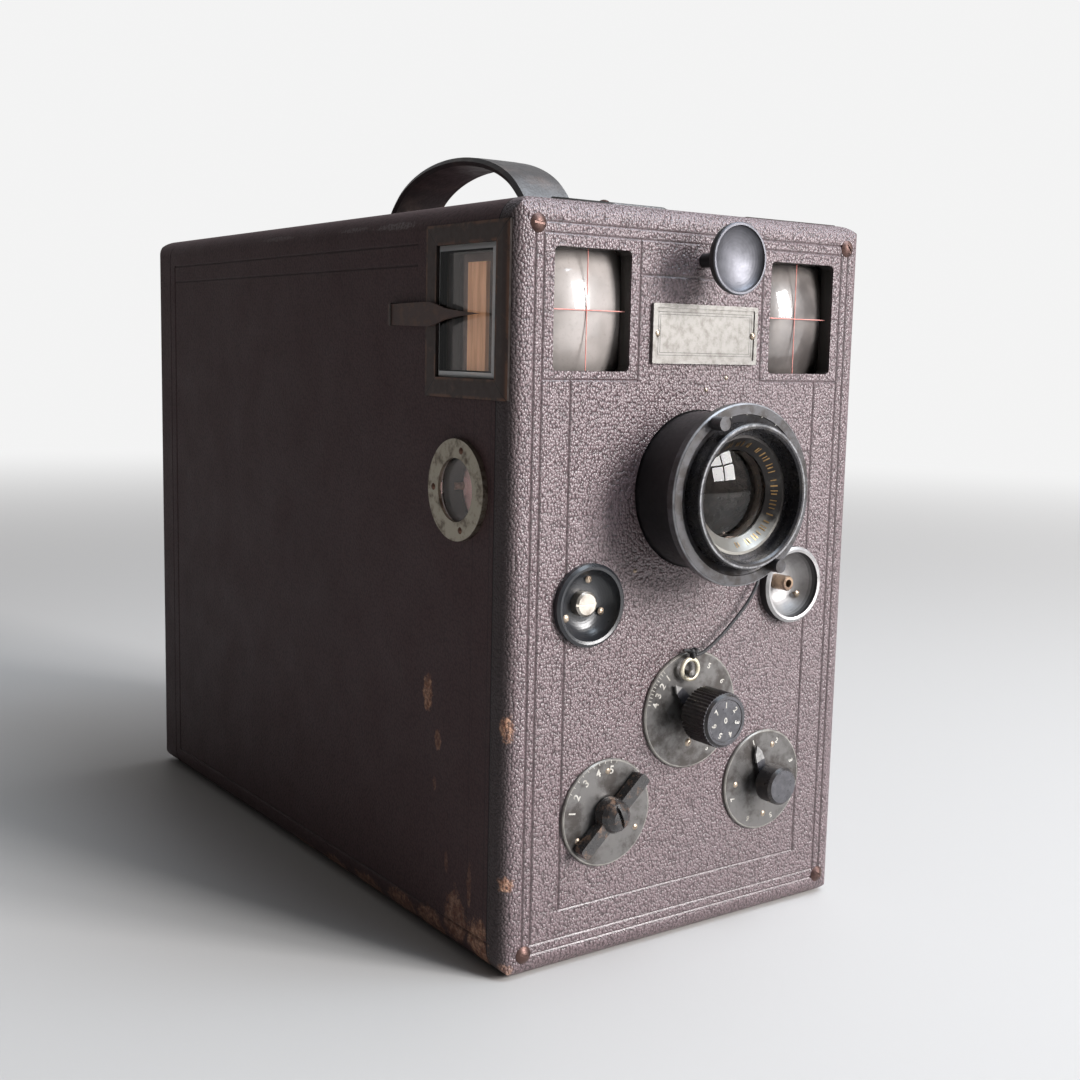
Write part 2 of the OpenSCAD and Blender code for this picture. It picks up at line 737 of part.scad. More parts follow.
// Thin sighting leaf beside the side window, its tip over the glass
module sight_pointer() color("#3a2c26") {
    at(-body_w / 2 - pointer_lift - pointer_t, 0, finder_z - 1.6) rotate([90, 0, 90])
        linear_extrude(pointer_t) polygon(concat(
            [for (p = pointer_outline) [pointer_base_y - p[0], pointer_w * p[1]]],
            [[pointer_tip_y, 0]],
            [for (i = [len(pointer_outline) - 1:-1:0])
                [pointer_base_y - pointer_outline[i][0], -pointer_w * pointer_outline[i][1]]]
        ));
    block(-body_w / 2 - pointer_lift, -body_w / 2, pointer_base_y - 7, pointer_base_y,
          finder_z - 1.6 - pointer_w * 0.4, finder_z - 1.6 + pointer_w * 0.4);
}

// Pale wooden strip behind the side window, standing on the window opening's lower end
strip_w = 8.9;
strip_t = 1.2;
strip_y = view_y - 4;
strip_top_gap = 2.6;
strip_x = board_back - 1.1 - body_w / 2;

module pale_strip() color("burlywood") block(
    strip_x - strip_t, strip_x, strip_y, strip_y + strip_w,
    view_z - view_h / 2 + view_ledge, view_z + view_h / 2 - view_ledge - strip_top_gap);

// Counter
bezel_t = 1.6;
disc_offset = 10.5;
disc_r = 15;
disc_t = 1;
disc_gap = 0.5;
disc_pin_r = 1.5;
disc_x = board_back + disc_gap;

module counter_bezel() color("silver") difference() {
    side_bore(counter_y, lens_z, counter_d, -bezel_t, 0);
    side_bore(counter_y, lens_z, counter_glass_d, -bezel_t - 1, 1);
    side_bore(counter_y, lens_z, counter_glass_d + 1.5, -bezel_t * 0.4, 1);
}

// Numbered disc that turns behind the window, with its pin in the left board
module counter_disc() color("ivory") difference() {
    union() {
        side_bore(counter_y + disc_offset, lens_z, 2 * disc_r, disc_x, disc_x + disc_t);
        side_bore(counter_y + disc_offset, lens_z, 6, disc_x - disc_gap * 0.6, disc_x + disc_t + 1.5);
    }
    side_bore(counter_y + disc_offset, lens_z, 2 * disc_pin_r + 2 * run_gap,
        disc_x - 1, disc_x + disc_t + 3);
}

// Lens
module lens_sleeve() color("#161616") turned(0, lens_z, [
    [barrel_r + run_gap, -sleeve_out], [sleeve_od / 2 - 0.4, -sleeve_out],
    [sleeve_od / 2, -sleeve_out + 0.4], [sleeve_od / 2, board_back],
    [sleeve_flange_r, board_back], [sleeve_flange_r, board_back + sleeve_flange_t],
    [sleeve_od / 2, board_back + sleeve_flange_t], [sleeve_od / 2, sleeve_in],
    [barrel_r + run_gap, sleeve_in]
]);

module focus_ring() color("#22272b") {
    r = focus_od / 2;
    turned(0, lens_z, [
        [barrel_r + run_gap, ring_y], [r - 0.4, ring_y], [r, ring_y - 0.4],
        [r, ring_y - focus_t + 0.5], [r - 0.5, ring_y - focus_t], [r - 3, ring_y - focus_t],
        [r - 3.2, ring_y - focus_t + 0.3], [barrel_r + run_gap, ring_y - focus_t + 1.4]
    ]);
    for (a = [peg_angle, peg_angle + 180]) {
        x = (r - 2.3) * cos(a);
        z = lens_z + (r - 2.3) * sin(a);
        rod(x, z, 2 * peg_r, ring_y - focus_t - peg_len, ring_y - focus_t + 0.9);
    }
}

module lens_barrel() color("#1a1d20") turned(0, lens_z, [
    [barrel_r - hood_wall + 0.5, hood_y], [barrel_r - 0.4, hood_y], [barrel_r, hood_y + 0.4],
    [barrel_r, barrel_back], [glass_r + 0.3, barrel_back], [glass_r + 0.3, 12.5],
    [glass_r - 1.2, 12.5], [glass_r - 1.2, 9], [barrel_r - 4.5, 9],
    [barrel_r - 4.5, seat_y + glass_t + 2], [glass_r - 1.2, seat_y + glass_t + 2],
    [glass_r - 1.2, seat_y + glass_t + 0.1], [glass_r + 0.1, seat_y + glass_t + 0.1],
    [glass_r + 0.1, seat_y + 0.1], [retainer_r + 0.1, seat_y + 0.1], [retainer_r + 0.1, step_y],
    [barrel_r - hood_wall, step_y], [barrel_r - hood_wall, hood_y + 0.6]
]);

module lens_retainer() color("#26241f") turned(0, lens_z, [
    [retainer_r, step_y], [retainer_r - 0.8, step_y], [glass_r - 0.4, seat_y - 0.8],
    [glass_r - 0.4, seat_y], [retainer_r, seat_y]
]);

module front_element() color("lightcyan", 0.5) {
    cap_r = 38;
    intersection() {
        rod(0, lens_z, 2 * glass_r - 1, seat_y - 4, seat_y + glass_t - 1);
        at(0, seat_y - 2.3 + cap_r, lens_z) sphere(r = cap_r, $fn = 96);
    }
    rod(0, lens_z, 2 * glass_r, seat_y + 0.1, seat_y + glass_t);
}

module rear_element() color("lightcyan", 0.5) intersection() {
    rod(0, lens_z, 2 * glass_r + 0.4, 12.6, barrel_back + 1);
    at(0, barrel_back - 40, lens_z) sphere(r = 40, $fn = 96);
}

// Shutter
module shutter_plate() color("darkgoldenrod") difference() {
    union() {
        block(-pillar_x - 4, pillar_x + 4, plate_y, plate_y + plate_t, pillar_z[0] - 5, pillar_z[1] + 5);
        for (side = [-1, 1], z = pillar_z) rod(side * pillar_x, z, 6, board_back, plate_y);
    }
    rod(0, lens_z, aperture_d, plate_y - 1, plate_y + plate_t + 1);
    rod(0, stop_z, shaft_d + 2 * run_gap, plate_y - 1, plate_y + plate_t + 1);
}

// A flat sector about the large shaft, between two angles right of straight up
module sector_blade(y, a0, a1, bore) difference() {
    union() {
        at(0, y, stop_z) rotate([-90, 0, 0]) rotate([0, 0, a0 - 90])
            rotate_extrude(angle = a1 - a0) translate([sector_r - 10.6, 0]) square([20.4, sector_t]);
        for (a = [a0 + 3, a1 - 3]) at(0, y, stop_z) rotate([0, a, 0])
            translate([-3, 0, 0]) cube([6, sector_t, sector_r - 10]);
        rod(0, stop_z, 14, y, y + sector_t);
    }
    rod(0, stop_z, bore, y - 1, y + sector_t + 1);
}

module aperture(y, a, d) at(0, y - 1, stop_z) rotate([0, a, 0]) translate([0, 0, sector_r])
    rotate([-90, 0, 0]) cylinder(d = d, h = sector_t + 2);

// Closed at rest; its opening passes the lens as it swings
module shutter_sector() color("#202020") difference() {
    sector_blade(shutter_sector_y, -sector_half, 4 * 9 + sector_half - 1, shaft_d - 1 + 2 * run_gap);
    aperture(shutter_sector_y, 18, aperture_d - 1);
}

stops = [[0, 17], [15, 11], [27, 7], [37, 4.5]];

module stop_sector() color("darkgoldenrod") difference() {
    sector_blade(stop_sector_y, -sector_half, stops[3][0] + 6, shaft_d - 0.02);
    for (s = stops) aperture(stop_sector_y, s[0], s[1]);
}

// Controls
module dial(x, z, d) difference() {
    turned(x, z, [
        [0, 0], [d / 2, 0], [d / 2, -dial_t + 0.3], [d / 2 - 0.3, -dial_t],
        [0, -dial_t]
    ]);
    rod(x, z, shaft_d + 2 * run_gap, -dial_t - 1, 1);
}

hook_r = 0.7;
hook_x = ring_x - 0.95;
hook_z = ring_z - 0.95;

module stop_dial() color("#3b3d3a") {
    dial(0, stop_z, stop_dial_d);
    turned(hook_x, hook_z, [
        [0, -dial_t], [hook_r, -dial_t], [hook_r, -4.4], [hook_r + 0.5, -4.6], [hook_r + 0.5, -5.2],
        [0, -5.4]
    ]);
}

module small_dials() color("#3b3d3a") for (side = [-1, 1])
    dial(side * small_dial_x, small_dial_z, small_dial_d);

function knurl(r, depth, teeth) = [for (i = [0:2 * teeth - 1])
    let (a = 180 * i / teeth, q = i % 2 == 0 ? r : r - depth) [q * cos(a), q * sin(a)]];

// A leaf pointer that stands out of a hub, lying just over its dial
module pointer(x, z, angle, len, y) at(x, y, z) rotate([0, -angle, 0]) rotate([90, 0, 0])
    linear_extrude(0.6) polygon([
        [0, -1.2], [len - 5, -1.6], [len - 2.4, -1.3], [len, 0], [len - 2.4, 1.3], [len - 5, 1.6], [0, 1.2]
    ]);

pointer_y = -dial_t - 0.8;
stop_hub_d = 9;
knob_len = 10;

module stop_knob() color("#191919") {
    at(0, -stop_knob_out + knob_len, stop_z) rotate([90, 0, 0]) linear_extrude(knob_len - 0.8)
        polygon(knurl(stop_knob_d / 2, 0.35, 44));
    turned(0, stop_z, [
        [0, -stop_knob_out + 0.8], [stop_knob_d / 2 - 0.4, -stop_knob_out + 0.8],
        [stop_knob_d / 2 - 1, -stop_knob_out], [stop_knob_d / 2 - 1.8, -stop_knob_out],
        [stop_knob_d / 2 - 2, -stop_knob_out + 0.2], [0, -stop_knob_out + 0.2]
    ]);
    rod(0, stop_z, stop_hub_d, -stop_knob_out + knob_len, pointer_y);
    rod(0, stop_z, shaft_d, pointer_y, stop_sector_y);
    rod(0, stop_z, shaft_d - 0.02, stop_sector_y, stop_sector_y + sector_t);
    rod(0, stop_z, shaft_d - 1, stop_sector_y + sector_t, shutter_sector_y + sector_t + 0.4);
    rod(0, stop_z, shaft_d + 3, shutter_sector_y + sector_t + 0.4, shutter_sector_y + sector_t + 2.4);
    pointer(0, stop_z, 131, 11, pointer_y);
}

// Smooth knob with a pointer; a ratchet wheel behind the front board keeps it in
module speed_knob() color("#191919") {
    turned(small_dial_x, small_dial_z, [
        [0, -speed_knob_out], [speed_knob_d / 2 - 0.8, -speed_knob_out],
        [speed_knob_d / 2, -speed_knob_out + 0.8], [speed_knob_d / 2, -4.2],
        [speed_knob_d / 2 - 0.6, -3.6], [3.6, -3.6], [3.6, pointer_y], [shaft_d / 2, pointer_y],
        [shaft_d / 2, board_back + 0.3], [6.4, board_back + 0.3], [6.4, board_back + 2.8],
        [0, board_back + 2.8]
    ]);
    pointer(small_dial_x, small_dial_z, 109, 12, pointer_y);
}

lever_w = 3.8;
lever_t = 3.4;
lever_rest_angle = 42;

// Bar lever with a slotted dome, and a cam behind the front board
module time_lever() color("#151515") {
    difference() {
        union() {
            at(-small_dial_x, pointer_y, small_dial_z) rotate([0, -lever_rest_angle, 0])
                rotate([90, 0, 0]) linear_extrude(lever_t) rounded_rect(lever_len, lever_w, 1);
            turned(-small_dial_x, small_dial_z, [
                [0, -8], [2.4, -7.6], [4, -6.4], [4.8, -5], [5, -3.8], [5, pointer_y],
                [shaft_d / 2, pointer_y], [shaft_d / 2, board_back + 1], [0, board_back + 1]
            ]);
        }
        at(-small_dial_x, -6.6, small_dial_z) rotate([0, 70, 0]) translate([-6, -4, -0.5]) cube([12, 4, 1]);
    }
    at(-small_dial_x, board_back + 2.3, small_dial_z) rotate([0, -lever_rest_angle, 0])
        rotate([90, 0, 0]) linear_extrude(2) {
            circle(5);
            translate([0, -2.5]) square([9, 5]);
        }
}

// Cups: a flared dish let into the board
module cup(x, rim, depth, bore_d) turned(x, cup_z, concat(
    [[bore_d / 2, depth]],
    [for (i = [0:12]) let (t = i * 7.5)
        [bore_d / 2 + 1 + (cup_d / 2 - 2.6 - bore_d / 2) * sin(t), depth - (depth + rim) * (1 - cos(t))]],
    [[cup_d / 2 - 0.8, -rim - 0.2], [cup_d / 2, -rim + 0.4], [cup_d / 2, 0],
     [cup_body_r, 0], [cup_body_r, depth + cup_back], [bore_d / 2, depth + cup_back]]
));

module release_cup() color("#15181b") cup(-cup_x, 2, release_cup_depth, release_d + 2 * run_gap);
module nipple_cup() color("#2b2d2e") cup(cup_x, 3, nipple_cup_depth, 2 * nipple_shank_r + 0.1);

module release_button() color("silver") difference() {
    turned(-cup_x, cup_z, [
        [0, 0], [release_d / 2 - 0.6, 0], [release_d / 2, 0.5], [release_d / 2, spring_y],
        [1.5, spring_y], [1.5, board_back + 0.3], [2.8, board_back + 0.3], [2.8, board_back + 1.5],
        [0, board_back + 1.5]
    ]);
    at(-cup_x - 5, -1, cup_z - 0.3) cube([10, 1.5, 0.6]);
}

module release_spring() color("gray") turned(-cup_x, cup_z, [
    [1.8, spring_y], [2.6, spring_y], [2.6, board_back - shoulder_t], [1.8, board_back - shoulder_t]
]);

module air_nipple() color("goldenrod") difference() {
    turned(cup_x, cup_z, [
        [1.2, -0.6], [nipple_d / 2 - 0.3, -0.6], [nipple_d / 2, -0.2],
        [nipple_d / 2, nipple_cup_depth], [nipple_shank_r, nipple_cup_depth], [nipple_shank_r, board_back],
        [5, board_back], [5, board_back + 8], [1.2, board_back + 8]
    ]);
    rod(cup_x, cup_z, 2.4, -2, board_back + 9);
}

// Changing gear
module changing_button() color("#131313") {
    r = change_d / 2;
    turned(0, change_z, concat(
        [for (i = [0:12]) let (t = i * 7.5) [(r - 0.8) * sin(t), 3 - change_out - 3 * (1 - cos(t))]],
        [[r - 0.25, -change_out], [r, 0.3 - change_out], [r, 1.2 - change_out], [r - 0.3, 2.2 - change_out],
         [r - 1.2, 3.3 - change_out], [r * 0.62, 4.5 - change_out], [r * 0.44, 5.6 - change_out],
         [3.2, 6.8 - change_out],
         [rod_d / 2 + 0.4, button_neck_y], [rod_d / 2, button_neck_y + 0.4], [rod_d / 2, rod_end_y - 1.5],
         [1, rod_end_y], [0, rod_end_y]]
    ));
}

module button_bushing() color("#202020") difference() {
    turned(0, change_z, [
        [0, 0], [4.4, 0], [4.4, board_back], [bushing_flange_r, board_back],
        [bushing_flange_r, board_back + 1.5], [0, board_back + 1.5]
    ]);
    rod(0, change_z, rod_d + 2 * run_gap, -1, board_back + 3);
}

// Rocker under the top board: the rod pushes one end, the other lets the front sheath fall
module plate_catch() color("goldenrod") {
    z0 = change_z - 2;
    y0 = rod_end_y + rod_gap;
    pivot_y = y0 + catch_t / 2;
    difference() {
        block(-4, catch_nose_x + 3, y0, y0 + catch_t, z0, z0 + 4);
        at(catch_pivot_x, pivot_y, z0 - 1) cylinder(r = 1.5 + run_gap, h = 6);
    }
    block(catch_nose_x - 3, catch_nose_x + 3, y0 + catch_t, focal_y - 0.4, z0, z0 + 4);
    block(catch_nose_x - 3, catch_nose_x + 3, focal_y - 2, focal_y - 0.4, shelf_top + sheath_h - 3, z0);
}

// Cord
function unit(v) = v / norm(v);
function tangent(p, i) = unit(p[min(i + 1, len(p) - 1)] - p[max(i - 1, 0)]);

module tube(points, d, sides) {
    n = len(points);
    rings = [for (i = [0:n - 1])
        let (t = tangent(points, i), u = unit(cross([0.2, 0, 1], t)), v = cross(t, u))
        for (k = [0:sides - 1]) points[i] + d / 2 * (u * cos(360 * k / sides) + v * sin(360 * k / sides))];
    polyhedron(
        points = rings,
        faces = concat(
            [[for (k = [0:sides - 1]) k]],
            [[for (k = [sides - 1:-1:0]) (n - 1) * sides + k]],
            [for (i = [0:n - 2], k = [0:sides - 1]) let (j = (k + 1) % sides)
                [i * sides + k, (i + 1) * sides + k, (i + 1) * sides + j]],
            [for (i = [0:n - 2], k = [0:sides - 1]) let (j = (k + 1) % sides)
                [i * sides + k, (i + 1) * sides + j, i * sides + j]]
        )
    );
}

module cord() color("black") at(0, 0, 0) tube(cord_route, cord_d, 8);

module cord_ring() color("khaki") at(ring_x, ring_y_place, ring_z) rotate([90, 0, 0])
    rotate_extrude() translate([ring_r, 0]) circle(ring_wire_r, $fn = 24);

// Small screws of the dials, the cups and the counter bezel
module fitting_screws() color("goldenrod") {
    for (side = [-1, 1]) front_screw(0.6 * side, stop_z + side * 9.7, -dial_t, 2.4, 40 * side);
    for (a = [90, 213, 330])
        front_screw(-small_dial_x + 12 * cos(a), small_dial_z + 12 * sin(a), -dial_t, 1.8, a);
    for (a = [70, 180, 275])
        front_screw(small_dial_x + 11 * cos(a), small_dial_z + 11 * sin(a), -dial_t, 1.8, a);
    for (a = [0, 105, 255])
        at(-bezel_t - body_w / 2, counter_y + 11.2 * cos(a), lens_z + 11.2 * sin(a)) rotate([0, -90, 0]) {
            intersection() {
                translate([0, 0, -0.7]) sphere(r = 1.2, $fn = 24);
                cylinder(d = 2, h = 1);
            }
            translate([0, 0, -bezel_t - 4]) cylinder(d = 0.9, h = bezel_t + 4, $fn = 24);
        }
    for (a = [75, 213, 337])
        front_screw(-cup_x + 6.8 * cos(a), cup_z + 6.8 * sin(a), 2.1, 2.2, a);
    front_screw(cup_x + 6.4, cup_z - 4, 1.9, 2.2, 20);
    at(catch_pivot_x, rod_end_y + rod_gap + catch_t / 2, change_z - 2.8) {
        cylinder(r = 1.5, h = inner_top - change_z + 4.8);
        cylinder(r = 2.6, h = 0.7);
    }
    side_bore(counter_y + disc_offset, lens_z, 2 * disc_pin_r, board_back - 3, disc_x + disc_t + 1.7);
    side_bore(counter_y + disc_offset, lens_z, 5, disc_x + disc_t + 1.7, disc_x + disc_t + 2.7);
}

// Magazine
module magazine_frame() color("peru") {
    block(-inner_x, inner_x, focal_y - 2.5, seam_y - lip_out - 0.5, shelf_top - shelf_t, shelf_top);
    block(-rail_x, rail_x, focal_y - 2.5, focal_y - 0.4, shelf_top, shelf_top + 1.5);
    for (side = [-1, 1]) block(side < 0 ? -inner_x : rail_x, side < 0 ? -rail_x : inner_x,
        focal_y - 2.5, pusher_y - 0.6, shelf_top, shelf_top + sheath_h - rail_drop);
}

module plate_sheaths() color("#2a2a2c") for (i = [0:sheaths - 1]) {
    y = focal_y + i * sheath_pitch;
    difference() {
        block(-sheath_w / 2, sheath_w / 2, y, y + sheath_t, shelf_top, shelf_top + sheath_h);
        block(1 - sheath_w / 2, sheath_w / 2 - 1, y - 1, y + 0.8, shelf_top + 1, shelf_top + sheath_h - 1);
    }
}

module pusher_plate() color("sienna") difference() {
    union() {
        block(2 - sheath_w / 2, sheath_w / 2 - 2, pusher_y, pusher_y + pusher_t,
              shelf_top + 1, shelf_top + sheath_h - 4);
        for (side = [-1, 1]) rod(side * guide_x, lens_z, 8, pusher_y + pusher_t, pusher_y + boss_len);
    }
    for (side = [-1, 1])
        rod(side * guide_x, lens_z, 2 * guide_r + 2 * run_gap, pusher_y + pusher_t, pusher_y + boss_len + 1);
}

// Guide rods in the rear door
module pusher_guides() color("silver") for (side = [-1, 1])
    rod(side * guide_x, lens_z, 2 * guide_r, pusher_y + pusher_t + pusher_travel + 0.5, panel_y);

// Flat bow spring between the pusher and the rear door
bow_half = 40;
bow_t = 0.6;
bow_w = 12;
bow_steps = 16;

function bow_arch(rise, shift) = [for (i = [0:bow_steps]) let (s = 2 * i / bow_steps - 1)
    [shift + (rise - shift) * s * s, bow_half * s]];

module pusher_spring() color("gray") {
    bow = panel_y - pusher_y - pusher_t;
    at(-bow_w / 2, pusher_y + pusher_t, lens_z) rotate([90, 0, 90]) linear_extrude(bow_w) difference() {
        polygon(bow_arch(bow, 0));
        polygon(concat(bow_arch(bow, bow_t), [[bow + 1, bow_half], [bow + 1, -bow_half]]));
    }
}

front_board();
left_board();
right_board();
top_board();
base_board();
front_leather();
body_leather();
base_leather();
case_screws();
tripod_bush();
rear_door();
rear_door_leather();
door_hinge_leaves();
body_hinge_leaves();
hinge_pins();
door_knob();
catch_clip();
strap_handle();
strap_tabs();
name_plate();
plate_pins();
finder_lenses();
finder_mirrors();
finder_boxes();
window_frames();
window_glasses();
sight_pointer();
pale_strip();
counter_bezel();
counter_disc();
lens_sleeve();
focus_ring();
lens_barrel();
lens_retainer();
front_element();
rear_element();
shutter_plate();
shutter_sector();
stop_dial();
stop_knob();
stop_sector();
small_dials();
time_lever();
speed_knob();
release_cup();
release_button();
release_spring();
nipple_cup();
air_nipple();
cord();
cord_ring();
changing_button();
button_bushing();
plate_catch();
fitting_screws();
magazine_frame();
plate_sheaths();
pusher_plate();
pusher_guides();
pusher_spring();
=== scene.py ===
import math

import bmesh
import bpy
from mathutils import Matrix, Vector


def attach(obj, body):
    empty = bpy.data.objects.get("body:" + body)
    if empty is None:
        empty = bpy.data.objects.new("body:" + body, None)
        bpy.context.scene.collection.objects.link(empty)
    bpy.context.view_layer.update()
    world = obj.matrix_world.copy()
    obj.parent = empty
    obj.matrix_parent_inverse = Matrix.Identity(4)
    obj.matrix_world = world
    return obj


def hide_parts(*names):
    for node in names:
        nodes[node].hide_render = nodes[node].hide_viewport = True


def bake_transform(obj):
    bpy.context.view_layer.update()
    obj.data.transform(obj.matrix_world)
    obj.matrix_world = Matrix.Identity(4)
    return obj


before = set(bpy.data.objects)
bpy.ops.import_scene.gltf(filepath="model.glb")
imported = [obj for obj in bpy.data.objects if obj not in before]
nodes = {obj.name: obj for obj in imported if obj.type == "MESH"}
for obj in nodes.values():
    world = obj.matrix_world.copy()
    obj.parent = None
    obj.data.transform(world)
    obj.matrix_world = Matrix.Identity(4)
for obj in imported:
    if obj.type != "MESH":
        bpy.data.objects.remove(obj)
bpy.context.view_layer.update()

# Metres in a millimetre, and places of the CAD in millimetres
MM = 0.001
FRONT_Y = -125.5
LENS_Z = 132.6
FINDER_X = 38.8
FINDER_Z = 181.6
STOP_Z = 68.5
SMALL_X = 30
SMALL_Z = 42.8


# Places in millimetres, with y measured back from the front of the leather
def at(x, y, z):
    return Vector((x, y + FRONT_Y, z)) * MM


def new_object(name, data):
    obj = bpy.data.objects.new(name, data)
    bpy.context.scene.collection.objects.link(obj)
    return obj


# Camera: place in millimetres, turns in radians, lens and sensor in millimetres
CAMERA_PLACE = (-269.26, -300.29, 170.60)
CAMERA_YAW = 0.621124
CAMERA_PITCH = 0.132896
CAMERA_ROLL = 0.0219755
CAMERA_LENS = 47.137
CAMERA_SENSOR = 36
camera_data = bpy.data.cameras.new("photo_camera")
camera = new_object("photo_camera", camera_data)
camera_place = at(*CAMERA_PLACE)
look = Vector((math.sin(CAMERA_YAW) * math.cos(CAMERA_PITCH), math.cos(CAMERA_YAW) * math.cos(CAMERA_PITCH),
               -math.sin(CAMERA_PITCH)))
right = look.cross(Vector((0, 0, 1))).normalized()
up = right.cross(look)
right_r = math.cos(CAMERA_ROLL) * right + math.sin(CAMERA_ROLL) * up
up_r = math.cos(CAMERA_ROLL) * up - math.sin(CAMERA_ROLL) * right
camera.matrix_world = Matrix((
    (right_r.x, up_r.x, -look.x, camera_place.x),
    (right_r.y, up_r.y, -look.y, camera_place.y),
    (right_r.z, up_r.z, -look.z, camera_place.z),
    (0, 0, 0, 1),
))
camera_data.sensor_width = CAMERA_SENSOR
camera_data.lens = CAMERA_LENS
camera_data.clip_start = 0.01
bpy.context.scene.camera = camera
bpy.context.scene.view_settings.view_transform = "Standard"


# Shader building
class Shader:
    def __init__(self, name, base=(0.5, 0.5, 0.5), metallic=0.0, roughness=0.5, **more):
        self.mat = bpy.data.materials.new(name)
        self.mat.use_nodes = True
        self.tree = self.mat.node_tree
        self.bsdf = self.tree.nodes["Principled BSDF"]
        self.set("Base Color", (*base, 1))
        self.set("Metallic", metallic)
        self.set("Roughness", roughness)
        for key, value in more.items():
            self.set(key.replace("_", " "), value)
        source = self.tree.nodes.new("ShaderNodeTexCoord")
        self.coords = source.outputs["Object"]
        self.normal = source.outputs["Normal"]

    def set(self, socket, value):
        self.bsdf.inputs[socket].default_value = value

    def link(self, a, b):
        self.tree.links.new(a, b)

    def put(self, socket, value):
        if isinstance(value, bpy.types.NodeSocket):
            self.link(value, socket)
        elif isinstance(value, (tuple, list)) and len(value) == 3 and socket.type == "RGBA":
            socket.default_value = (*value, 1)
        else:
            socket.default_value = value

    def math(self, op, a, b=0.0):
        n = self.tree.nodes.new("ShaderNodeMath")
        n.operation = op
        self.put(n.inputs[0], a)
        self.put(n.inputs[1], b)
        return n.outputs[0]

    def vec(self, op, a, b=(0, 0, 0), scale=None):
        n = self.tree.nodes.new("ShaderNodeVectorMath")
        n.operation = op
        self.put(n.inputs[0], a)
        self.put(n.inputs[1], b)
        if scale is not None:
            n.inputs["Scale"].default_value = scale
        return n.outputs["Value"] if op in ("DISTANCE", "LENGTH", "DOT_PRODUCT") else n.outputs["Vector"]

    def noise(self, scale, detail=3.0, roughness=0.55, coords=None, distortion=0.0):
        n = self.tree.nodes.new("ShaderNodeTexNoise")
        self.link(coords or self.coords, n.inputs["Vector"])
        n.inputs["Scale"].default_value = scale
        n.inputs["Detail"].default_value = detail
        n.inputs["Roughness"].default_value = roughness
        n.inputs["Distortion"].default_value = distortion
        return n.outputs["Fac"]

    def cells(self, scale, coords, feature="F1", randomness=1.0):
        n = self.tree.nodes.new("ShaderNodeTexVoronoi")
        n.feature = feature
        self.link(coords, n.inputs["Vector"])
        n.inputs["Scale"].default_value = scale
        n.inputs["Randomness"].default_value = randomness
        return n.outputs["Distance"]

    def noise_colour(self, scale):
        n = self.tree.nodes.new("ShaderNodeTexNoise")
        self.link(self.coords, n.inputs["Vector"])
        n.inputs["Scale"].default_value = scale
        return n.outputs["Color"]

    def scaled(self, scale):
        n = self.tree.nodes.new("ShaderNodeMapping")
        self.link(self.coords, n.inputs["Vector"])
        n.inputs["Scale"].default_value = scale
        return n.outputs["Vector"]

    def step(self, value, low, high):
        n = self.tree.nodes.new("ShaderNodeMapRange")
        n.interpolation_type = "SMOOTHSTEP"
        self.put(n.inputs["Value"], value)
        n.inputs["From Min"].default_value = low
        n.inputs["From Max"].default_value = high
        return n.outputs["Result"]

    def span(self, value, low, high, to_low, to_high):
        n = self.tree.nodes.new("ShaderNodeMapRange")
        self.put(n.inputs["Value"], value)
        n.inputs["From Min"].default_value = low
        n.inputs["From Max"].default_value = high
        n.inputs["To Min"].default_value = to_low
        n.inputs["To Max"].default_value = to_high
        return n.outputs["Result"]

    def mix(self, factor, a, b):
        n = self.tree.nodes.new("ShaderNodeMix")
        n.data_type = "RGBA"
        self.put(n.inputs[0], factor)
        self.put(n.inputs[6], a)
        self.put(n.inputs[7], b)
        return n.outputs[2]

    def split(self, vector=None):
        n = self.tree.nodes.new("ShaderNodeSeparateXYZ")
        self.link(vector or self.coords, n.inputs[0])
        return n.outputs[0], n.outputs[1], n.outputs[2]

    def both(self, *factors):
        total = factors[0]
        for factor in factors[1:]:
            total = self.math("MULTIPLY", total, factor)
        return total

    def either(self, *factors):
        total = factors[0]
        for factor in factors[1:]:
            total = self.math("MAXIMUM", total, factor)
        return total

    def bump(self, height, strength, distance, normal=None):
        n = self.tree.nodes.new("ShaderNodeBump")
        self.put(n.inputs["Height"], height)
        n.inputs["Strength"].default_value = strength
        n.inputs["Distance"].default_value = distance
        if normal is not None:
            self.link(normal, n.inputs["Normal"])
        self.link(n.outputs["Normal"], self.bsdf.inputs["Normal"])
        return n.outputs["Normal"]

    def colour(self, value):
        self.link(value, self.bsdf.inputs["Base Color"])

    def rough(self, value):
        self.link(value, self.bsdf.inputs["Roughness"])


# Half sizes of the case in metres, and the front leather's seam behind the front
CASE_HALF_X = 0.064
CASE_HALF_Y = 0.1255
CASE_HALF_Z = 0.105
SEAM_Y = 7.6

# Rubbed spots: x, y, z, half width, half height and how far the bare hide shows
SCUFFS = [
    (-64, 40, 72.5, 2.6, 5.0, 0.9), (-64, 34.5, 60.5, 1.7, 3.4, 0.6), (-63.2, 1.0, 70.5, 2.4, 4.2, 1.0),
    (-63.0, 1.0, 27.5, 2.8, 2.2, 1.0), (-64, 36, 47, 1.0, 2.4, 0.3), (-64, 12, 7, 5.0, 8.0, 0.75),
    (-64, 24, 11, 6.0, 8.0, 0.5), (-64, 38, 5, 8.0, 4.5, 0.55), (-64, 55, 5, 9.0, 4.0, 0.5),
    (-64, 76, 3.5, 9.0, 3.2, 0.5), (-64, 99, 3, 9.0, 3.0, 0.45), (-64, 122, 2, 8.0, 2.0, 0.4),
    (-62.5, 1.5, 2.5, 3.0, 2.2, 0.5), (-64, 17, 22, 1.2, 7.0, 0.35), (-64, 29, 26, 1.0, 3.0, 0.3),
]
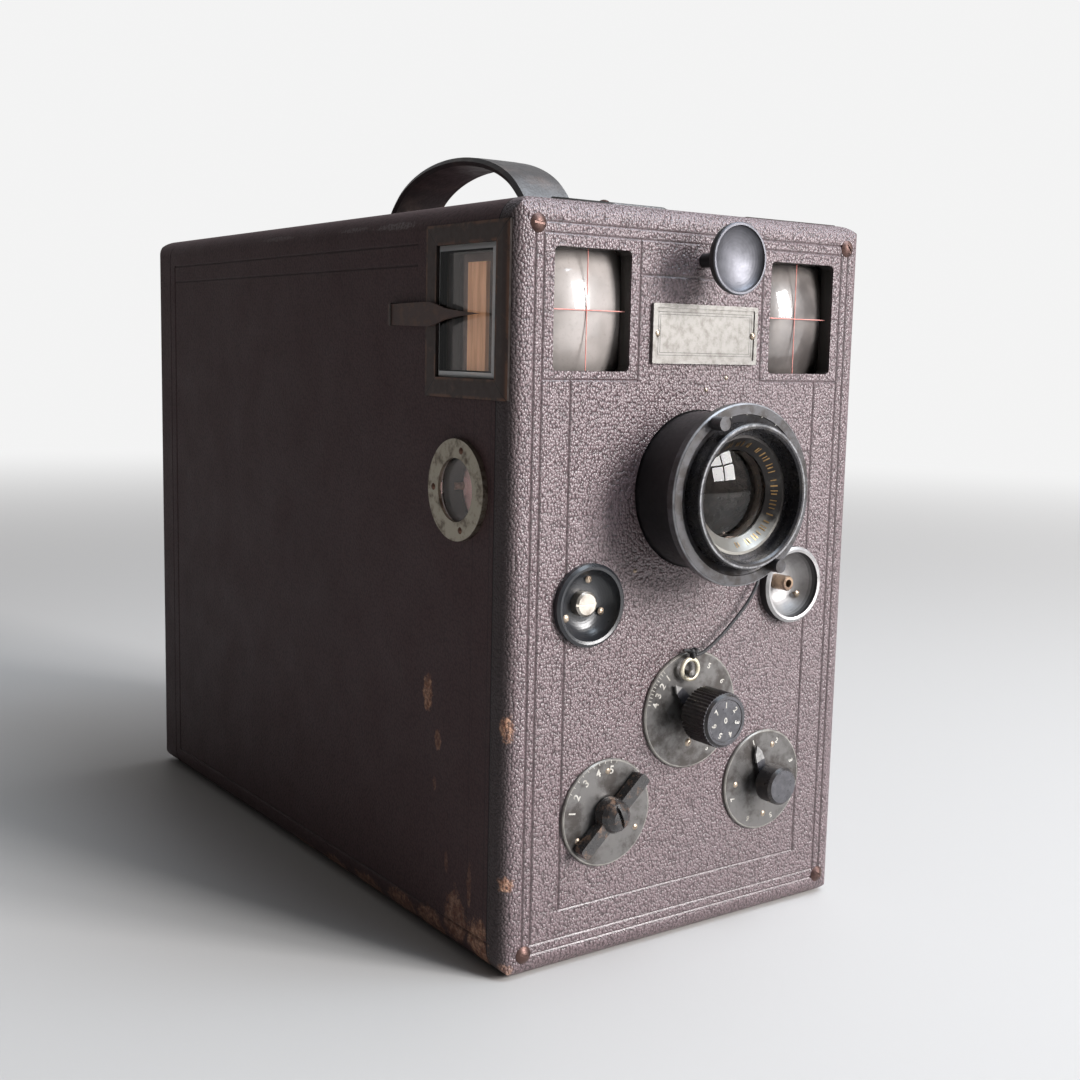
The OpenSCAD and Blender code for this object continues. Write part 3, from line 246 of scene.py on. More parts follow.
# Rubbed light marks along the side's top edge
RUBS = [(-63.6, 62, 205, 12.0, 1.1, 0.5), (-63.6, 88, 205.4, 9.0, 0.8, 0.35),
        (-63.6, 140, 205.4, 12.0, 0.8, 0.25)]
# Ragged distance from a spot's middle at which it begins and is complete
SPOT_EDGE = (2.25, 1.85)


# Distance to the nearest edge of the case along its faces
def edge_distance(s):
    px, py, pz = s.split()
    dx = s.math("SUBTRACT", CASE_HALF_X, s.math("ABSOLUTE", px))
    dy = s.math("SUBTRACT", CASE_HALF_Y, s.math("ABSOLUTE", py))
    dz = s.math("SUBTRACT", CASE_HALF_Z, s.math("ABSOLUTE", s.math("SUBTRACT", pz, CASE_HALF_Z)))
    total = s.math("ADD", s.math("ADD", dx, dy), dz)
    return s.math("SUBTRACT", total, s.either(dx, dy, dz))


# How far a point lies inside the ragged spots of a list
def spots_of(s, spots, ragged):
    inside = None
    for x, y, z, half_w, half_h, depth in spots:
        away = s.vec("MULTIPLY", s.vec("SUBTRACT", s.coords, tuple(at(x, y, z))),
                     (1 / (half_w * MM), 1 / (half_w * MM), 1 / (half_h * MM)))
        spot = s.both(s.step(s.math("ADD", s.vec("LENGTH", away), ragged), *SPOT_EDGE), depth)
        inside = spot if inside is None else s.either(inside, spot)
    return inside


# A tooled line is known by its depth under the face.
# Each pair is where a test begins and where it is complete, in metres.
FRONT_GROOVE_Y = (-0.12546, -0.12538)
FRONT_DEEPEST_Y = (-0.1249, -0.1251)
FRONT_FIELD_X = (0.0586, 0.0584)
FRONT_FIELD_Z = (0.0996, 0.0994)
SIDE_GROOVE_X = (0.06396, 0.06388)
SIDE_DEEPEST_X = (0.0632, 0.0634)
SIDE_FIELD_Z = (0.0970, 0.0968)
SIDE_FIELD_FRONT = (-0.1200, -0.1195)
SIDE_FIELD_BACK = (0.1195, 0.1190)


# Where the flat faces are pressed in by tooled lines
def tooled(s):
    px, py, pz = s.split()
    ax = s.math("ABSOLUTE", px)
    mid_z = s.math("ABSOLUTE", s.math("SUBTRACT", pz, CASE_HALF_Z))
    front = s.both(s.step(py, *FRONT_GROOVE_Y), s.step(ax, *FRONT_FIELD_X), s.step(mid_z, *FRONT_FIELD_Z),
                   s.step(py, *FRONT_DEEPEST_Y))
    sides = s.both(s.step(ax, *SIDE_GROOVE_X), s.step(ax, *SIDE_DEEPEST_X), s.step(mid_z, *SIDE_FIELD_Z),
                   s.step(py, *SIDE_FIELD_FRONT), s.step(py, *SIDE_FIELD_BACK))
    return s.either(front, sides)


# Lines that run down the sides behind the seam of the front leather: place, half width, depth
SIDE_LINES = [(SEAM_Y, 0.34, 1.0), (SEAM_Y + 2.0, 0.30, 0.45), (17.8, 0.28, 0.3)]
# Heights between which the lines behind the seam run, in metres
SIDE_LINES_TOP = (0.1575, 0.1568)
SIDE_LINES_FOOT = (0.0088, 0.0094)


def side_lines(s):
    _, py, pz = s.split()
    below = s.step(pz, *SIDE_LINES_TOP)
    total = None
    for y, half, depth in SIDE_LINES:
        off = s.math("ABSOLUTE", s.math("SUBTRACT", py, (FRONT_Y + y) * MM))
        line = s.both(s.step(off, half * MM * 1.3, half * MM * 0.5), depth)
        if y != SEAM_Y:
            line = s.both(line, below, s.step(pz, *SIDE_LINES_FOOT))
        total = line if total is None else s.either(total, line)
    return total


# Pebbles to a metre, and how far their places wander
PEBBLE_SCALE = 1380.0
PEBBLE_WANDER = 0.00022
# Width of the band along an edge that is worn brown, in metres: from, to
WORN_BAND = (0.0042, 0.0004)
RAW_HIDE = ((0.20, 0.085, 0.048), (0.50, 0.285, 0.185))
LINE_BLACK = (0.010, 0.006, 0.007)


# Pebbled case leather, browner and smoother along the edges, with scuffs that show raw hide, and painted
# light and shade: lighter pebble tops, darker valleys and grooves, and a darkened strip on the left flank
def case_leather(name, grain_depth, light, dark, rough_range, gloss):
    s = Shader(name, roughness=0.45, Specular_IOR_Level=gloss)
    wander = s.vec("SCALE", s.vec("SUBTRACT", s.noise_colour(500.0), (0.5, 0.5, 0.5)), scale=PEBBLE_WANDER)
    warped = s.vec("ADD", s.scaled((1.0, 1.0, 0.88)), wander)
    pebble = s.cells(PEBBLE_SCALE, warped, "F1", 0.85)
    dome = s.both(pebble, pebble)
    fine = s.noise(3600.0, 2.0)
    grain = s.math("SUBTRACT", s.both(fine, 0.12), dome)
    edge = edge_distance(s)
    broad = s.noise(26.0, 4.0, 0.6)
    blotch = s.noise(7.0, 3.0)
    worn_edge = s.both(s.step(edge, *WORN_BAND), s.step(broad, 0.34, 0.6))
    # Pebble tops take the lighter tone and the valleys between them the darker one: a painted highlight on
    # the crests and painted shade in the valleys
    tone = s.mix(s.span(dome, 0.04, 0.5, 0.0, 1.0), light, dark)
    tone = s.mix(s.both(s.step(blotch, 0.4, 0.7), 0.3), tone, tuple(0.5 * c for c in light))
    tone = s.mix(s.both(worn_edge, 0.55), tone, (0.075, 0.034, 0.027))
    # The left-facing strip in front of the seam is darkened: painted shade on the side that faces away from
    # the light. It is also made rougher.
    nx, _, _ = s.split(s.normal)
    _, py, _ = s.split()
    seam = (FRONT_Y + SEAM_Y) * MM
    shaded_flank = s.both(s.step(nx, -0.4, -0.85), s.step(py, seam + 0.0003, seam))
    tone = s.mix(s.both(shaded_flank, 0.85), tone, (0.020, 0.011, 0.011))
    lines = side_lines(s)
    shaded_groove = tooled(s)
    ragged = s.math("ADD", s.both(s.noise(900.0, 4.0, 0.7), 1.2), s.both(s.noise(260.0, 3.0), 1.1))
    flecked = s.step(s.noise(1150.0, 5.0, 0.75), 0.40, 0.56)
    bare = s.both(spots_of(s, SCUFFS, ragged), s.span(flecked, 0.0, 1.0, 0.35, 1.0))
    rubbed = s.both(spots_of(s, RUBS, ragged), flecked)
    hide = s.mix(s.step(s.noise(620.0, 3.0), 0.35, 0.65), *RAW_HIDE)
    tone = s.mix(bare, tone, hide)
    tone = s.mix(rubbed, tone, (0.22, 0.19, 0.185))
    # Darker in the bottoms of the tooled grooves: painted shade in the grooves
    tone = s.mix(s.both(shaded_groove, 0.35), tone, (0.030, 0.018, 0.019))
    s.colour(s.mix(s.both(lines, 0.85), tone, LINE_BLACK))
    rough = s.span(s.math("ADD", s.noise(60.0, 3.0), s.both(fine, 0.3)), 0.35, 0.95, *rough_range)
    s.rough(s.math("ADD", rough, s.math("ADD", s.both(bare, 0.2), s.both(shaded_flank, 0.45))))
    smooth = s.both(s.span(worn_edge, 0.0, 1.0, 1.0, 0.6), s.span(shaded_groove, 0.0, 1.0, 1.0, 0.15))
    relief = s.math("SUBTRACT", s.both(grain, smooth), s.both(lines, 0.8))
    first = s.bump(relief, 1.0, grain_depth)
    s.bump(s.noise(150.0, 3.0), 0.2, 0.0003, first)
    return s.mat


# Creased black leather of the strap and its tabs
def black_leather():
    s = Shader("strap_leather", roughness=0.4, Specular_IOR_Level=0.7)
    crackle = s.cells(900.0, s.scaled((1.0, 0.5, 1.0)), "SMOOTH_F1")
    wear = s.step(s.noise(70.0, 4.0, 0.6), 0.5, 0.72)
    s.colour(s.mix(wear, (0.024, 0.021, 0.021), (0.070, 0.052, 0.046)))
    s.rough(s.span(s.noise(300.0, 3.0), 0.3, 0.75, 0.30, 0.50))
    s.bump(s.math("ADD", crackle, s.noise(1800.0, 2.0)), 0.5, 0.00014)
    return s.mat


# Patinated metal: clean tone, stain tone, how metallic, the roughness range, and the stains' scale and edge
def metal(name, clean, stain, metallic=1.0, rough=(0.25, 0.5), stain_scale=260.0, stained=(0.45, 0.7)):
    s = Shader(name, metallic=metallic)
    spots = s.step(s.noise(stain_scale, 5.0, 0.65), *stained)
    s.colour(s.mix(spots, clean, stain))
    brushed = s.noise(900.0, 2.0, 0.5, s.scaled((1.0, 1.0, 8.0)))
    s.rough(s.span(s.math("ADD", s.math("MULTIPLY", spots, 0.4), brushed), 0.3, 1.0, *rough))
    s.bump(s.math("ADD", s.math("MULTIPLY", spots, 0.3), brushed), 0.12, 0.00005)
    return s.mat


# Clean and stained tones of the screws' brass
SCREW_TONES = ((0.44, 0.36, 0.28), (0.15, 0.10, 0.075))
# Sideways place beyond which a screw counts as one of the left side, in metres
SIDE_SCREWS_X = (-0.0600, -0.0605)


# Small screws: brass on the front, dark brown on the left side
def screw_metal(name):
    s = Shader(name, metallic=0.9)
    px, _, _ = s.split()
    stained = s.step(s.noise(260.0, 5.0, 0.65), 0.45, 0.7)
    front = s.mix(stained, *SCREW_TONES)
    side = s.mix(stained, (0.13, 0.070, 0.050), (0.060, 0.032, 0.025))
    s.colour(s.mix(s.step(px, *SIDE_SCREWS_X), front, side))
    s.rough(s.span(s.noise(900.0, 3.0), 0.3, 0.7, 0.28, 0.48))
    s.bump(s.noise(1300.0, 3.0), 0.10, 0.00005)
    return s.mat


# Black lacquer with rubbed spots: tone, rubbed tone, roughness range and the spots' edge
def lacquer(name, tone, worn, rough, wear):
    s = Shader(name, Specular_IOR_Level=0.5, Coat_Weight=0.25, Coat_Roughness=0.2)
    rubbed = s.step(s.noise(350.0, 5.0, 0.7), *wear)
    s.colour(s.mix(rubbed, tone, worn))
    s.rough(s.span(s.noise(500.0, 4.0, 0.6), 0.3, 0.75, *rough))
    s.bump(s.noise(1500.0, 3.0), 0.10, 0.00005)
    return s.mat


# Squeezes the wood's grain along the height
GRAIN_ALONG = (1.0, 1.0, 0.06)


def wood(name, dark, light, scale=700.0):
    s = Shader(name)
    grain = s.noise(scale, 5.0, 0.6, s.scaled(GRAIN_ALONG), 0.6)
    s.colour(s.mix(s.step(grain, 0.35, 0.68), dark, light))
    s.rough(s.span(grain, 0.3, 0.7, 0.45, 0.7))
    s.bump(grain, 0.3, 0.0002)
    return s.mat


# Even stuff with a slight spread of tone
def plain(name, tone, spread, rough, metallic=0.0):
    s = Shader(name, metallic=metallic)
    s.colour(s.mix(s.step(s.noise(500.0, 4.0), 0.35, 0.7), tone, spread))
    s.rough(s.span(s.noise(900.0, 3.0), 0.3, 0.7, *rough))
    s.bump(s.noise(1600.0, 2.0), 0.08, 0.00005)
    return s.mat


# Distance of a point from an axis that runs from front to back
def off_axis(s, x, z):
    px, _, pz = s.split()
    dx = s.math("SUBTRACT", px, x * MM)
    dz = s.math("SUBTRACT", pz, z * MM)
    return s.math("SQRT", s.math("ADD", s.both(dx, dx), s.both(dz, dz)))


# Dark satin metal with its edge rubbed bright: each rim is an axis' x and z, a radius and a half width
def rimmed_metal(name, tone, spread, bright, rims, metallic, rough_range, coarse=200.0):
    s = Shader(name, metallic=metallic)
    worn = None
    for x, z, radius, half in rims:
        off = s.math("ABSOLUTE", s.math("SUBTRACT", off_axis(s, x, z), radius * MM))
        rim = s.step(off, half * MM, half * MM * 0.3)
        worn = rim if worn is None else s.either(worn, rim)
    patchy = s.step(s.noise(coarse, 5.0, 0.65), 0.42, 0.62)
    specks = s.step(s.noise(900.0, 4.0, 0.7), 0.60, 0.72)
    tone = s.mix(patchy, tone, spread)
    tone = s.mix(s.both(specks, 0.2), tone, bright)
    s.colour(s.mix(s.both(worn, s.span(s.noise(300.0, 3.0), 0.3, 0.6, 0.35, 0.95)), tone, bright))
    s.rough(s.span(s.noise(600.0, 3.0), 0.3, 0.7, *rough_range))
    s.bump(s.noise(1300.0, 3.0), 0.08, 0.00005)
    return s.mat


# Black knob with a rubbed face and a lighter leaf pointer: centre, and the radius where the pointer starts
def knob_black(name, x, z, radius, face):
    s = Shader(name, metallic=0.15)
    _, ny, _ = s.split(s.normal)
    forward = s.step(ny, -0.80, -0.97)
    leaf = s.step(off_axis(s, x, z), (radius - 0.1) * MM, (radius + 0.1) * MM)
    rubbed = s.step(s.noise(420.0, 5.0, 0.7), 0.38, 0.66)
    tone = s.mix(rubbed, (0.018, 0.016, 0.017), (0.040, 0.034, 0.032))
    tone = s.mix(forward, tone, s.mix(rubbed, face, tuple(1.7 * c for c in face)))
    s.colour(s.mix(leaf, tone, s.mix(rubbed, (0.20, 0.195, 0.19), (0.36, 0.35, 0.34))))
    s.rough(s.span(s.noise(500.0, 4.0, 0.6), 0.3, 0.75, 0.24, 0.42))
    s.bump(s.noise(1300.0, 3.0), 0.10, 0.00005)
    return s.mat


# Heights below the lens axis between which the ring round the front glass grows bare
BARE_FROM, BARE_TO = 3.0, 12.5


# Slightly coned ring round the front glass: black above, worn to bare metal below
def coned_ring(name, worn_tone):
    s = Shader(name, metallic=0.6)
    _, _, pz = s.split()
    below = s.step(pz, (LENS_Z - BARE_FROM) * MM, (LENS_Z - BARE_TO) * MM)
    patches = s.step(s.math("ADD", s.noise(240.0, 4.0, 0.6), s.both(below, 0.5)), 0.52, 0.80)
    s.colour(s.mix(s.both(patches, s.span(below, 0.0, 1.0, 0.25, 1.0)), (0.030, 0.027, 0.026), worn_tone))
    s.rough(s.span(s.noise(600.0, 3.0), 0.3, 0.7, 0.30, 0.46))
    s.bump(s.noise(1300.0, 3.0), 0.08, 0.00005)
    return s.mat


# Radius of the curvature that the finder glasses' gloss shows beyond their own
EXTRA_BULGE_R = 0.045


# Old finder glass, milky and dusty, clearer on the right side of the case
def milky_glass():
    s = Shader("milky_glass", (0.5, 0.45, 0.42), 0.0, 0.35, Coat_Weight=1.0, Coat_Roughness=0.02)
    px, _, pz = s.split()
    right_side = s.step(px, -0.001, 0.001)
    dust = s.step(s.noise(900.0, 4.0, 0.7), 0.52, 0.75)
    haze = s.step(s.noise(85.0, 3.0), 0.3, 0.75)
    lower = s.step(pz, (FINDER_Z + 4) * MM, (FINDER_Z - 12) * MM)
    clear = s.mix(haze, (0.36, 0.325, 0.305), (0.50, 0.455, 0.43))
    aged = s.mix(haze, (0.15, 0.134, 0.128), (0.38, 0.34, 0.32))
    aged = s.mix(s.both(lower, 0.35), aged, (0.080, 0.068, 0.064))
    s.colour(s.mix(s.both(dust, 0.4), s.mix(right_side, clear, aged), (0.26, 0.215, 0.19)))
    s.link(s.math("ADD", s.span(haze, 0.0, 1.0, 0.25, 0.12), s.both(right_side, 0.15)),
           s.bsdf.inputs["Transmission Weight"])
    s.rough(s.span(dust, 0.0, 1.0, 0.30, 0.5))
    dx = s.math("SUBTRACT", s.math("ABSOLUTE", px), FINDER_X * MM)
    dz = s.math("SUBTRACT", pz, FINDER_Z * MM)
    bulge = s.both(s.math("ADD", s.both(dx, dx), s.both(dz, dz)), -0.5 / EXTRA_BULGE_R)
    s.link(s.bump(bulge, 1.0, 1.0), s.bsdf.inputs["Coat Normal"])
    return s.mat


# Window glass, clear on its face and frosted on its bevel
def pane_glass():
    s = Shader("pane_clear", (0.97, 0.91, 0.88), 0.0, 0.02, IOR=1.35)
    nx, ny, nz = [s.math("ABSOLUTE", part) for part in s.split(s.normal)]
    bevel = s.step(s.either(nx, ny, nz), 0.995, 0.97)
    s.colour(s.mix(bevel, (0.97, 0.90, 0.87), (0.60, 0.60, 0.60)))
    s.rough(s.span(bevel, 0.0, 1.0, 0.02, 0.35))
    s.link(s.span(bevel, 0.0, 1.0, 1.0, 0.3), s.bsdf.inputs["Transmission Weight"])
    return s.mat


# Pressed metal of the button and a cup: black outside, rubbed bright where it faces forwards
def dish_metal(name, bright, rough_range, low=-0.25, high=-0.6):
    s = Shader(name, Specular_IOR_Level=0.5)
    _, ny, _ = s.split(s.normal)
    facing = s.step(ny, low, high)
    rubbed = s.step(s.noise(160.0, 4.0, 0.6), 0.3, 0.8)
    s.colour(s.mix(facing, (0.012, 0.011, 0.012), s.mix(rubbed, bright, tuple(0.6 * c for c in bright))))
    s.link(s.both(facing, 0.85), s.bsdf.inputs["Metallic"])
    s.rough(s.span(s.noise(500.0, 4.0, 0.6), 0.3, 0.75, *rough_range))
    s.bump(s.noise(1200.0, 3.0), 0.08, 0.00005)
    return s.mat


# Side window: its middle, and half the depth and height of its frame outside and inside
VIEW_Y = 22.6
VIEW_Z = 180.7
FRAME_OUTSIDE = (20.1, 23.2)
FRAME_INSIDE = (14.7, 17.8)


# How far two distances are past a pair of half sizes
def past(s, dy, dz, halves):
    return s.math("SUBTRACT", dy, halves[0] * MM), s.math("SUBTRACT", dz, halves[1] * MM)


# Blackened frame, rubbed brown along its edges, with mitred corners and painted shade on its faces that
# look forwards
def frame_metal():
    s = Shader("frame_metal", metallic=0.15, Specular_IOR_Level=0.4)
    px, py, pz = s.split()
    dy = s.math("ABSOLUTE", s.math("SUBTRACT", py, (VIEW_Y + FRONT_Y) * MM))
    dz = s.math("ABSOLUTE", s.math("SUBTRACT", pz, VIEW_Z * MM))
    outer = s.either(*past(s, dy, dz, FRAME_OUTSIDE))
    inner = s.either(*past(s, dy, dz, FRAME_INSIDE))
    rim = s.either(s.step(outer, -0.0011, -0.0003), s.step(inner, 0.0010, 0.0002))
    worn = s.both(rim, s.step(s.noise(160.0, 4.0, 0.7), 0.40, 0.58))
    mitre = s.math("ABSOLUTE", s.math("SUBTRACT", *past(s, dy, dz, FRAME_INSIDE)))
    joint_line = s.both(s.step(mitre, 0.00022, 0.00008), s.step(px, -0.050, -0.055))
    spots = s.step(s.noise(300.0, 5.0, 0.65), 0.55, 0.72)
    tone = s.mix(spots, (0.046, 0.030, 0.026), (0.078, 0.048, 0.038))
    tone = s.mix(s.both(worn, 0.8), tone, (0.150, 0.074, 0.046))
    # Faces that look forwards are darkened: painted shade, toning down the window's light on them. They are
    # also made rougher.
    _, ny, _ = s.split(s.normal)
    forward = s.step(ny, -0.4, -0.8)
    tone = s.mix(forward, tone, (0.016, 0.010, 0.008))
    s.colour(s.mix(joint_line, tone, (0.012, 0.010, 0.009)))
    s.rough(s.math("ADD", s.span(s.noise(420.0, 3.0), 0.3, 0.7, 0.36, 0.55), s.both(forward, 0.4)))
    s.bump(s.math("SUBTRACT", s.noise(900.0, 3.0), s.both(joint_line, 2.0)), 0.25, 0.00008)
    return s.mat


# Materials
# The front leather's tones are set lighter than the side leather's: painted light on the front, which faces
# the window
leather = case_leather("pebbled_leather_painted_light", 0.00036, (0.158, 0.110, 0.118), (0.062, 0.040, 0.043),
                       (0.32, 0.46), 0.75)
side_leather = case_leather("smooth_leather", 0.00008, (0.064, 0.034, 0.035), (0.041, 0.021, 0.022),
                            (0.50, 0.64), 0.25)
strap_skin = black_leather()
black_wood = wood("black_wood", (0.010, 0.009, 0.008), (0.026, 0.022, 0.019))
tan_wood = wood("tan_wood", (0.66, 0.36, 0.19), (0.88, 0.54, 0.32))
mahogany = wood("mahogany", (0.10, 0.035, 0.018), (0.22, 0.09, 0.045), scale=500.0)
copper = metal("copper_screw", (0.115, 0.068, 0.058), (0.050, 0.028, 0.025), 0.8, (0.36, 0.55))
brass = metal("aged_brass", (0.60, 0.43, 0.22), (0.19, 0.12, 0.06))
pale_brass = metal("pale_brass", (0.74, 0.68, 0.54), (0.50, 0.42, 0.30), 0.45, (0.25, 0.4))
screw_brass = metal("screw_brass", (0.44, 0.36, 0.28), (0.15, 0.10, 0.075), rough=(0.25, 0.45))
screw_mixed = screw_metal("screw_metal")
nipple_brass = metal("nipple_brass", (0.30, 0.215, 0.15), (0.12, 0.08, 0.06), 0.8, (0.38, 0.55))
nickel = metal("worn_nickel", (0.185, 0.178, 0.167), (0.125, 0.115, 0.104), 0.7, (0.42, 0.56), 420.0,
               (0.40, 0.75))
button_nickel = metal("button_nickel", (0.42, 0.39, 0.35), (0.24, 0.21, 0.18), rough=(0.36, 0.52))
bezel_metal = metal("bezel_nickel", (0.40, 0.36, 0.29), (0.13, 0.10, 0.075), rough=(0.28, 0.48))
old_steel = metal("old_steel", (0.10, 0.088, 0.082), (0.05, 0.042, 0.038), 0.7, (0.4, 0.6))
steel = metal("bright_steel", (0.62, 0.61, 0.60), (0.35, 0.33, 0.31), rough=(0.2, 0.4))
frame_black = frame_metal()
pointer_brown = metal("pointer_brown", (0.066, 0.040, 0.035), (0.115, 0.066, 0.050), 0.3, (0.38, 0.58))
dial_rims = [(0, STOP_Z, 17.0, 0.45), (SMALL_X, SMALL_Z, 15.15, 0.45), (-SMALL_X, SMALL_Z, 15.15, 0.45)]
dial_face = rimmed_metal("dial_face", (0.140, 0.134, 0.130), (0.060, 0.053, 0.049), (0.30, 0.285, 0.26),
                         dial_rims, 0.7, (0.30, 0.48), 130.0)
ring_rims = [(0, LENS_Z, 25.0, 0.3), (0, LENS_Z, 19.4, 0.35)]
ring_black = rimmed_metal("ring_lacquer", (0.066, 0.064, 0.068), (0.030, 0.025, 0.023), (0.25, 0.25, 0.26),
                          ring_rims, 0.35, (0.28, 0.42))
barrel_rims = [(0, LENS_Z, 19.4, 0.4)]
barrel_black = rimmed_metal("barrel_lacquer", (0.024, 0.023, 0.026), (0.036, 0.033, 0.032),
                            (0.26, 0.26, 0.27), barrel_rims, 0.45, (0.20, 0.36))
lens_ring = coned_ring("coned_ring", (0.235, 0.225, 0.205))
gloss_black = lacquer("gloss_black", (0.018, 0.019, 0.022), (0.05, 0.05, 0.05), (0.26, 0.38), (0.68, 0.84))
stop_black = knob_black("stop_knob_black", 0, STOP_Z, 8.7, (0.044, 0.043, 0.048))
speed_black = knob_black("speed_knob_black", SMALL_X, SMALL_Z, 7.0, (0.046, 0.045, 0.050))
lever_worn = lacquer("lever_lacquer", (0.020, 0.018, 0.018), (0.15, 0.088, 0.056), (0.18, 0.34),
                     (0.50, 0.70))
trumpet_metal = dish_metal("trumpet_metal", (0.120, 0.120, 0.134), (0.42, 0.54))
cup_metal = dish_metal("cup_metal", (0.45, 0.44, 0.44), (0.50, 0.62), -0.10, -0.4)
sleeve_black = plain("sleeve_black", (0.0045, 0.0042, 0.0048), (0.010, 0.0095, 0.010), (0.30, 0.44))
inside_black = plain("inside_black", (0.006, 0.0055, 0.005), (0.014, 0.013, 0.012), (0.7, 0.9))
lens_clear = Shader("lens_clear", (0.50, 0.42, 0.37), 0.0, 0.0, Transmission_Weight=1.0, IOR=1.32).mat
finder_milk = milky_glass()
pane_clear = pane_glass()
counter_ivory = plain("counter_ivory", (0.95, 0.66, 0.66), (0.80, 0.54, 0.54), (0.35, 0.5))
cotton = plain("cord_cotton", (0.014, 0.014, 0.016), (0.035, 0.034, 0.036), (0.6, 0.8))
red_line = plain("red_line", (0.60, 0.20, 0.17), (0.66, 0.30, 0.26), (0.5, 0.7))
mark_white = plain("mark_white", (0.50, 0.48, 0.44), (0.26, 0.24, 0.21), (0.5, 0.7))
mark_dark = plain("mark_dark", (0.035, 0.032, 0.030), (0.08, 0.075, 0.07), (0.5, 0.7))
mark_brass = metal("mark_brass", (0.46, 0.29, 0.13), (0.22, 0.13, 0.06), rough=(0.25, 0.4))
mirror_silver = metal("aged_mirror", (0.150, 0.112, 0.100), (0.085, 0.064, 0.058), 0.6, (0.30, 0.5), 90.0)
box_brown = plain("box_brown", (0.062, 0.046, 0.042), (0.090, 0.068, 0.062), (0.5, 0.7))
tin_black = plain("tin_black", (0.02, 0.02, 0.022), (0.05, 0.048, 0.046), (0.3, 0.5), 0.5)

# Which solids wear which material
LOOKS = {
    leather: ["front_leather", "button_bushing"],
    side_leather: ["body_leather", "base_leather", "rear_door_leather"],
    black_wood: ["front_board", "left_board", "right_board", "top_board", "base_board"],
    box_brown: ["finder_boxes"],
    mahogany: ["rear_door", "magazine_frame", "pusher_plate"],
    copper: ["case_screws"],
    brass: ["tripod_bush", "door_hinge_leaves", "body_hinge_leaves", "catch_clip", "shutter_plate",
            "stop_sector", "plate_catch"],
    pale_brass: ["cord_ring"],
    screw_brass: ["plate_pins"],
    screw_mixed: ["fitting_screws"],
    nipple_brass: ["air_nipple"],
    nickel: ["name_plate", "door_knob"],
    button_nickel: ["release_button"],
    bezel_metal: ["counter_bezel"],
    steel: ["hinge_pins", "release_spring", "pusher_spring", "pusher_guides"],
    frame_black: ["window_frames"],
    pointer_brown: ["sight_pointer"],
    dial_face: ["stop_dial", "small_dials"],
    sleeve_black: ["lens_sleeve"],
    ring_black: ["focus_ring"],
    barrel_black: ["lens_barrel"],
    lens_ring: ["lens_retainer"],
    inside_black: ["shutter_sector"],
    gloss_black: ["release_cup"],
    cup_metal: ["nipple_cup"],
    trumpet_metal: ["changing_button"],
    stop_black: ["stop_knob"],
    speed_black: ["speed_knob"],
    lever_worn: ["time_lever"],
    lens_clear: ["front_element", "rear_element"],
    finder_milk: ["finder_lenses"],
    pane_clear: ["window_glasses"],
    mirror_silver: ["finder_mirrors"],
    counter_ivory: ["counter_disc"],
    tan_wood: ["pale_strip"],
    tin_black: ["plate_sheaths"],
    strap_skin: ["strap_handle", "strap_tabs"],
    cotton: ["cord"],
}
for look_material, names in LOOKS.items():
    for node_name in names:
        data = nodes[node_name].data
        data.materials.clear()
        data.materials.append(look_material)


# Mesh building
def add_mesh(name, points, faces, material, body, smooth=True):
    data = bpy.data.meshes.new(name)
    data.from_pydata([tuple(p) for p in points], [], faces)
    data.validate()
    made = bmesh.new()
    made.from_mesh(data)
    bmesh.ops.recalc_face_normals(made, faces=made.faces)
    made.to_mesh(data)
    made.free()
    obj = new_object(name, data)
    data.materials.append(material)
    if smooth:
        for polygon in data.polygons:
            polygon.use_smooth = True
    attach(obj, body)
    return obj


# Keeps the edges sharp that are steeper than an angle
def sharpen(obj, degrees):
    data = obj.data
    made = bmesh.new()
    made.from_mesh(data)
    limit = math.radians(degrees)
    for e in made.edges:
        e.smooth = len(e.link_faces) == 2 and e.calc_face_angle(0.0) < limit
    made.to_mesh(data)
    made.free()


# Smooth curve through points
def through(points, steps):
    out = []
    count = len(points)
    for i in range(count - 1):
        p0, p1 = points[max(i - 1, 0)], points[i]
        p2, p3 = points[i + 1], points[min(i + 2, count - 1)]
        for k in range(steps):
            t = k / steps
            out.append(0.5 * ((2 * p1) + (p2 - p0) * t + (2 * p0 - 5 * p1 + 4 * p2 - p3) * t * t
                              + (3 * p1 - p0 - 3 * p2 + p3) * t ** 3))
    out.append(points[-1])
    return out


# Strap handle: its middle, the height of its foot, and the half length and height of its arch
STRAP_Y = 118.5
STRAP_BASE = 212.8
ARCH_A = 42.4
ARCH_B = 20.4
half = [(33.2, 211.4), (45, 211.4), (58, 211.4), (67, 211.45), (71.8, 212.4), (74.8, 214.9), (76.6, 217.6)]
arch = [(STRAP_Y - ARCH_A * math.cos(math.radians(a)), STRAP_BASE + ARCH_B * math.sin(math.radians(a)))
        for a in range(24, 157, 12)]
far_half = [(2 * STRAP_Y - y, z) for y, z in reversed(half)]
strap_line = through([Vector((0, y, z)) for y, z in half + arch + far_half], 5)

# The strap's section: half width, width of its rounded rim, half thickness and steps across
STRAP_HALF_W = 10
STRAP_RIM = 1.2
STRAP_HALF_T = 1.4
STRAP_STEPS = 24
# The crease along each rim: distance from the middle, width and depth
CREASE_X = 7.9
CREASE_W = 0.35
CREASE_DEPTH = 0.28


def strap_section():
    top = []
    for i in range(STRAP_STEPS + 1):
        x = -STRAP_HALF_W + 2 * STRAP_HALF_W * i / STRAP_STEPS
        rim = max(0.0, abs(x) - (STRAP_HALF_W - STRAP_RIM)) / STRAP_RIM
        crease = CREASE_DEPTH * math.exp(-((abs(x) - CREASE_X) / CREASE_W) ** 2)
        domed = STRAP_HALF_T * math.sqrt(max(0.0, 1 - rim * rim)) + 0.06 * math.cos(x * 0.16)
        top.append((x, domed - crease))
    return top + [(x, -n) for x, n in reversed(top) if abs(x) < STRAP_HALF_W - 0.01]


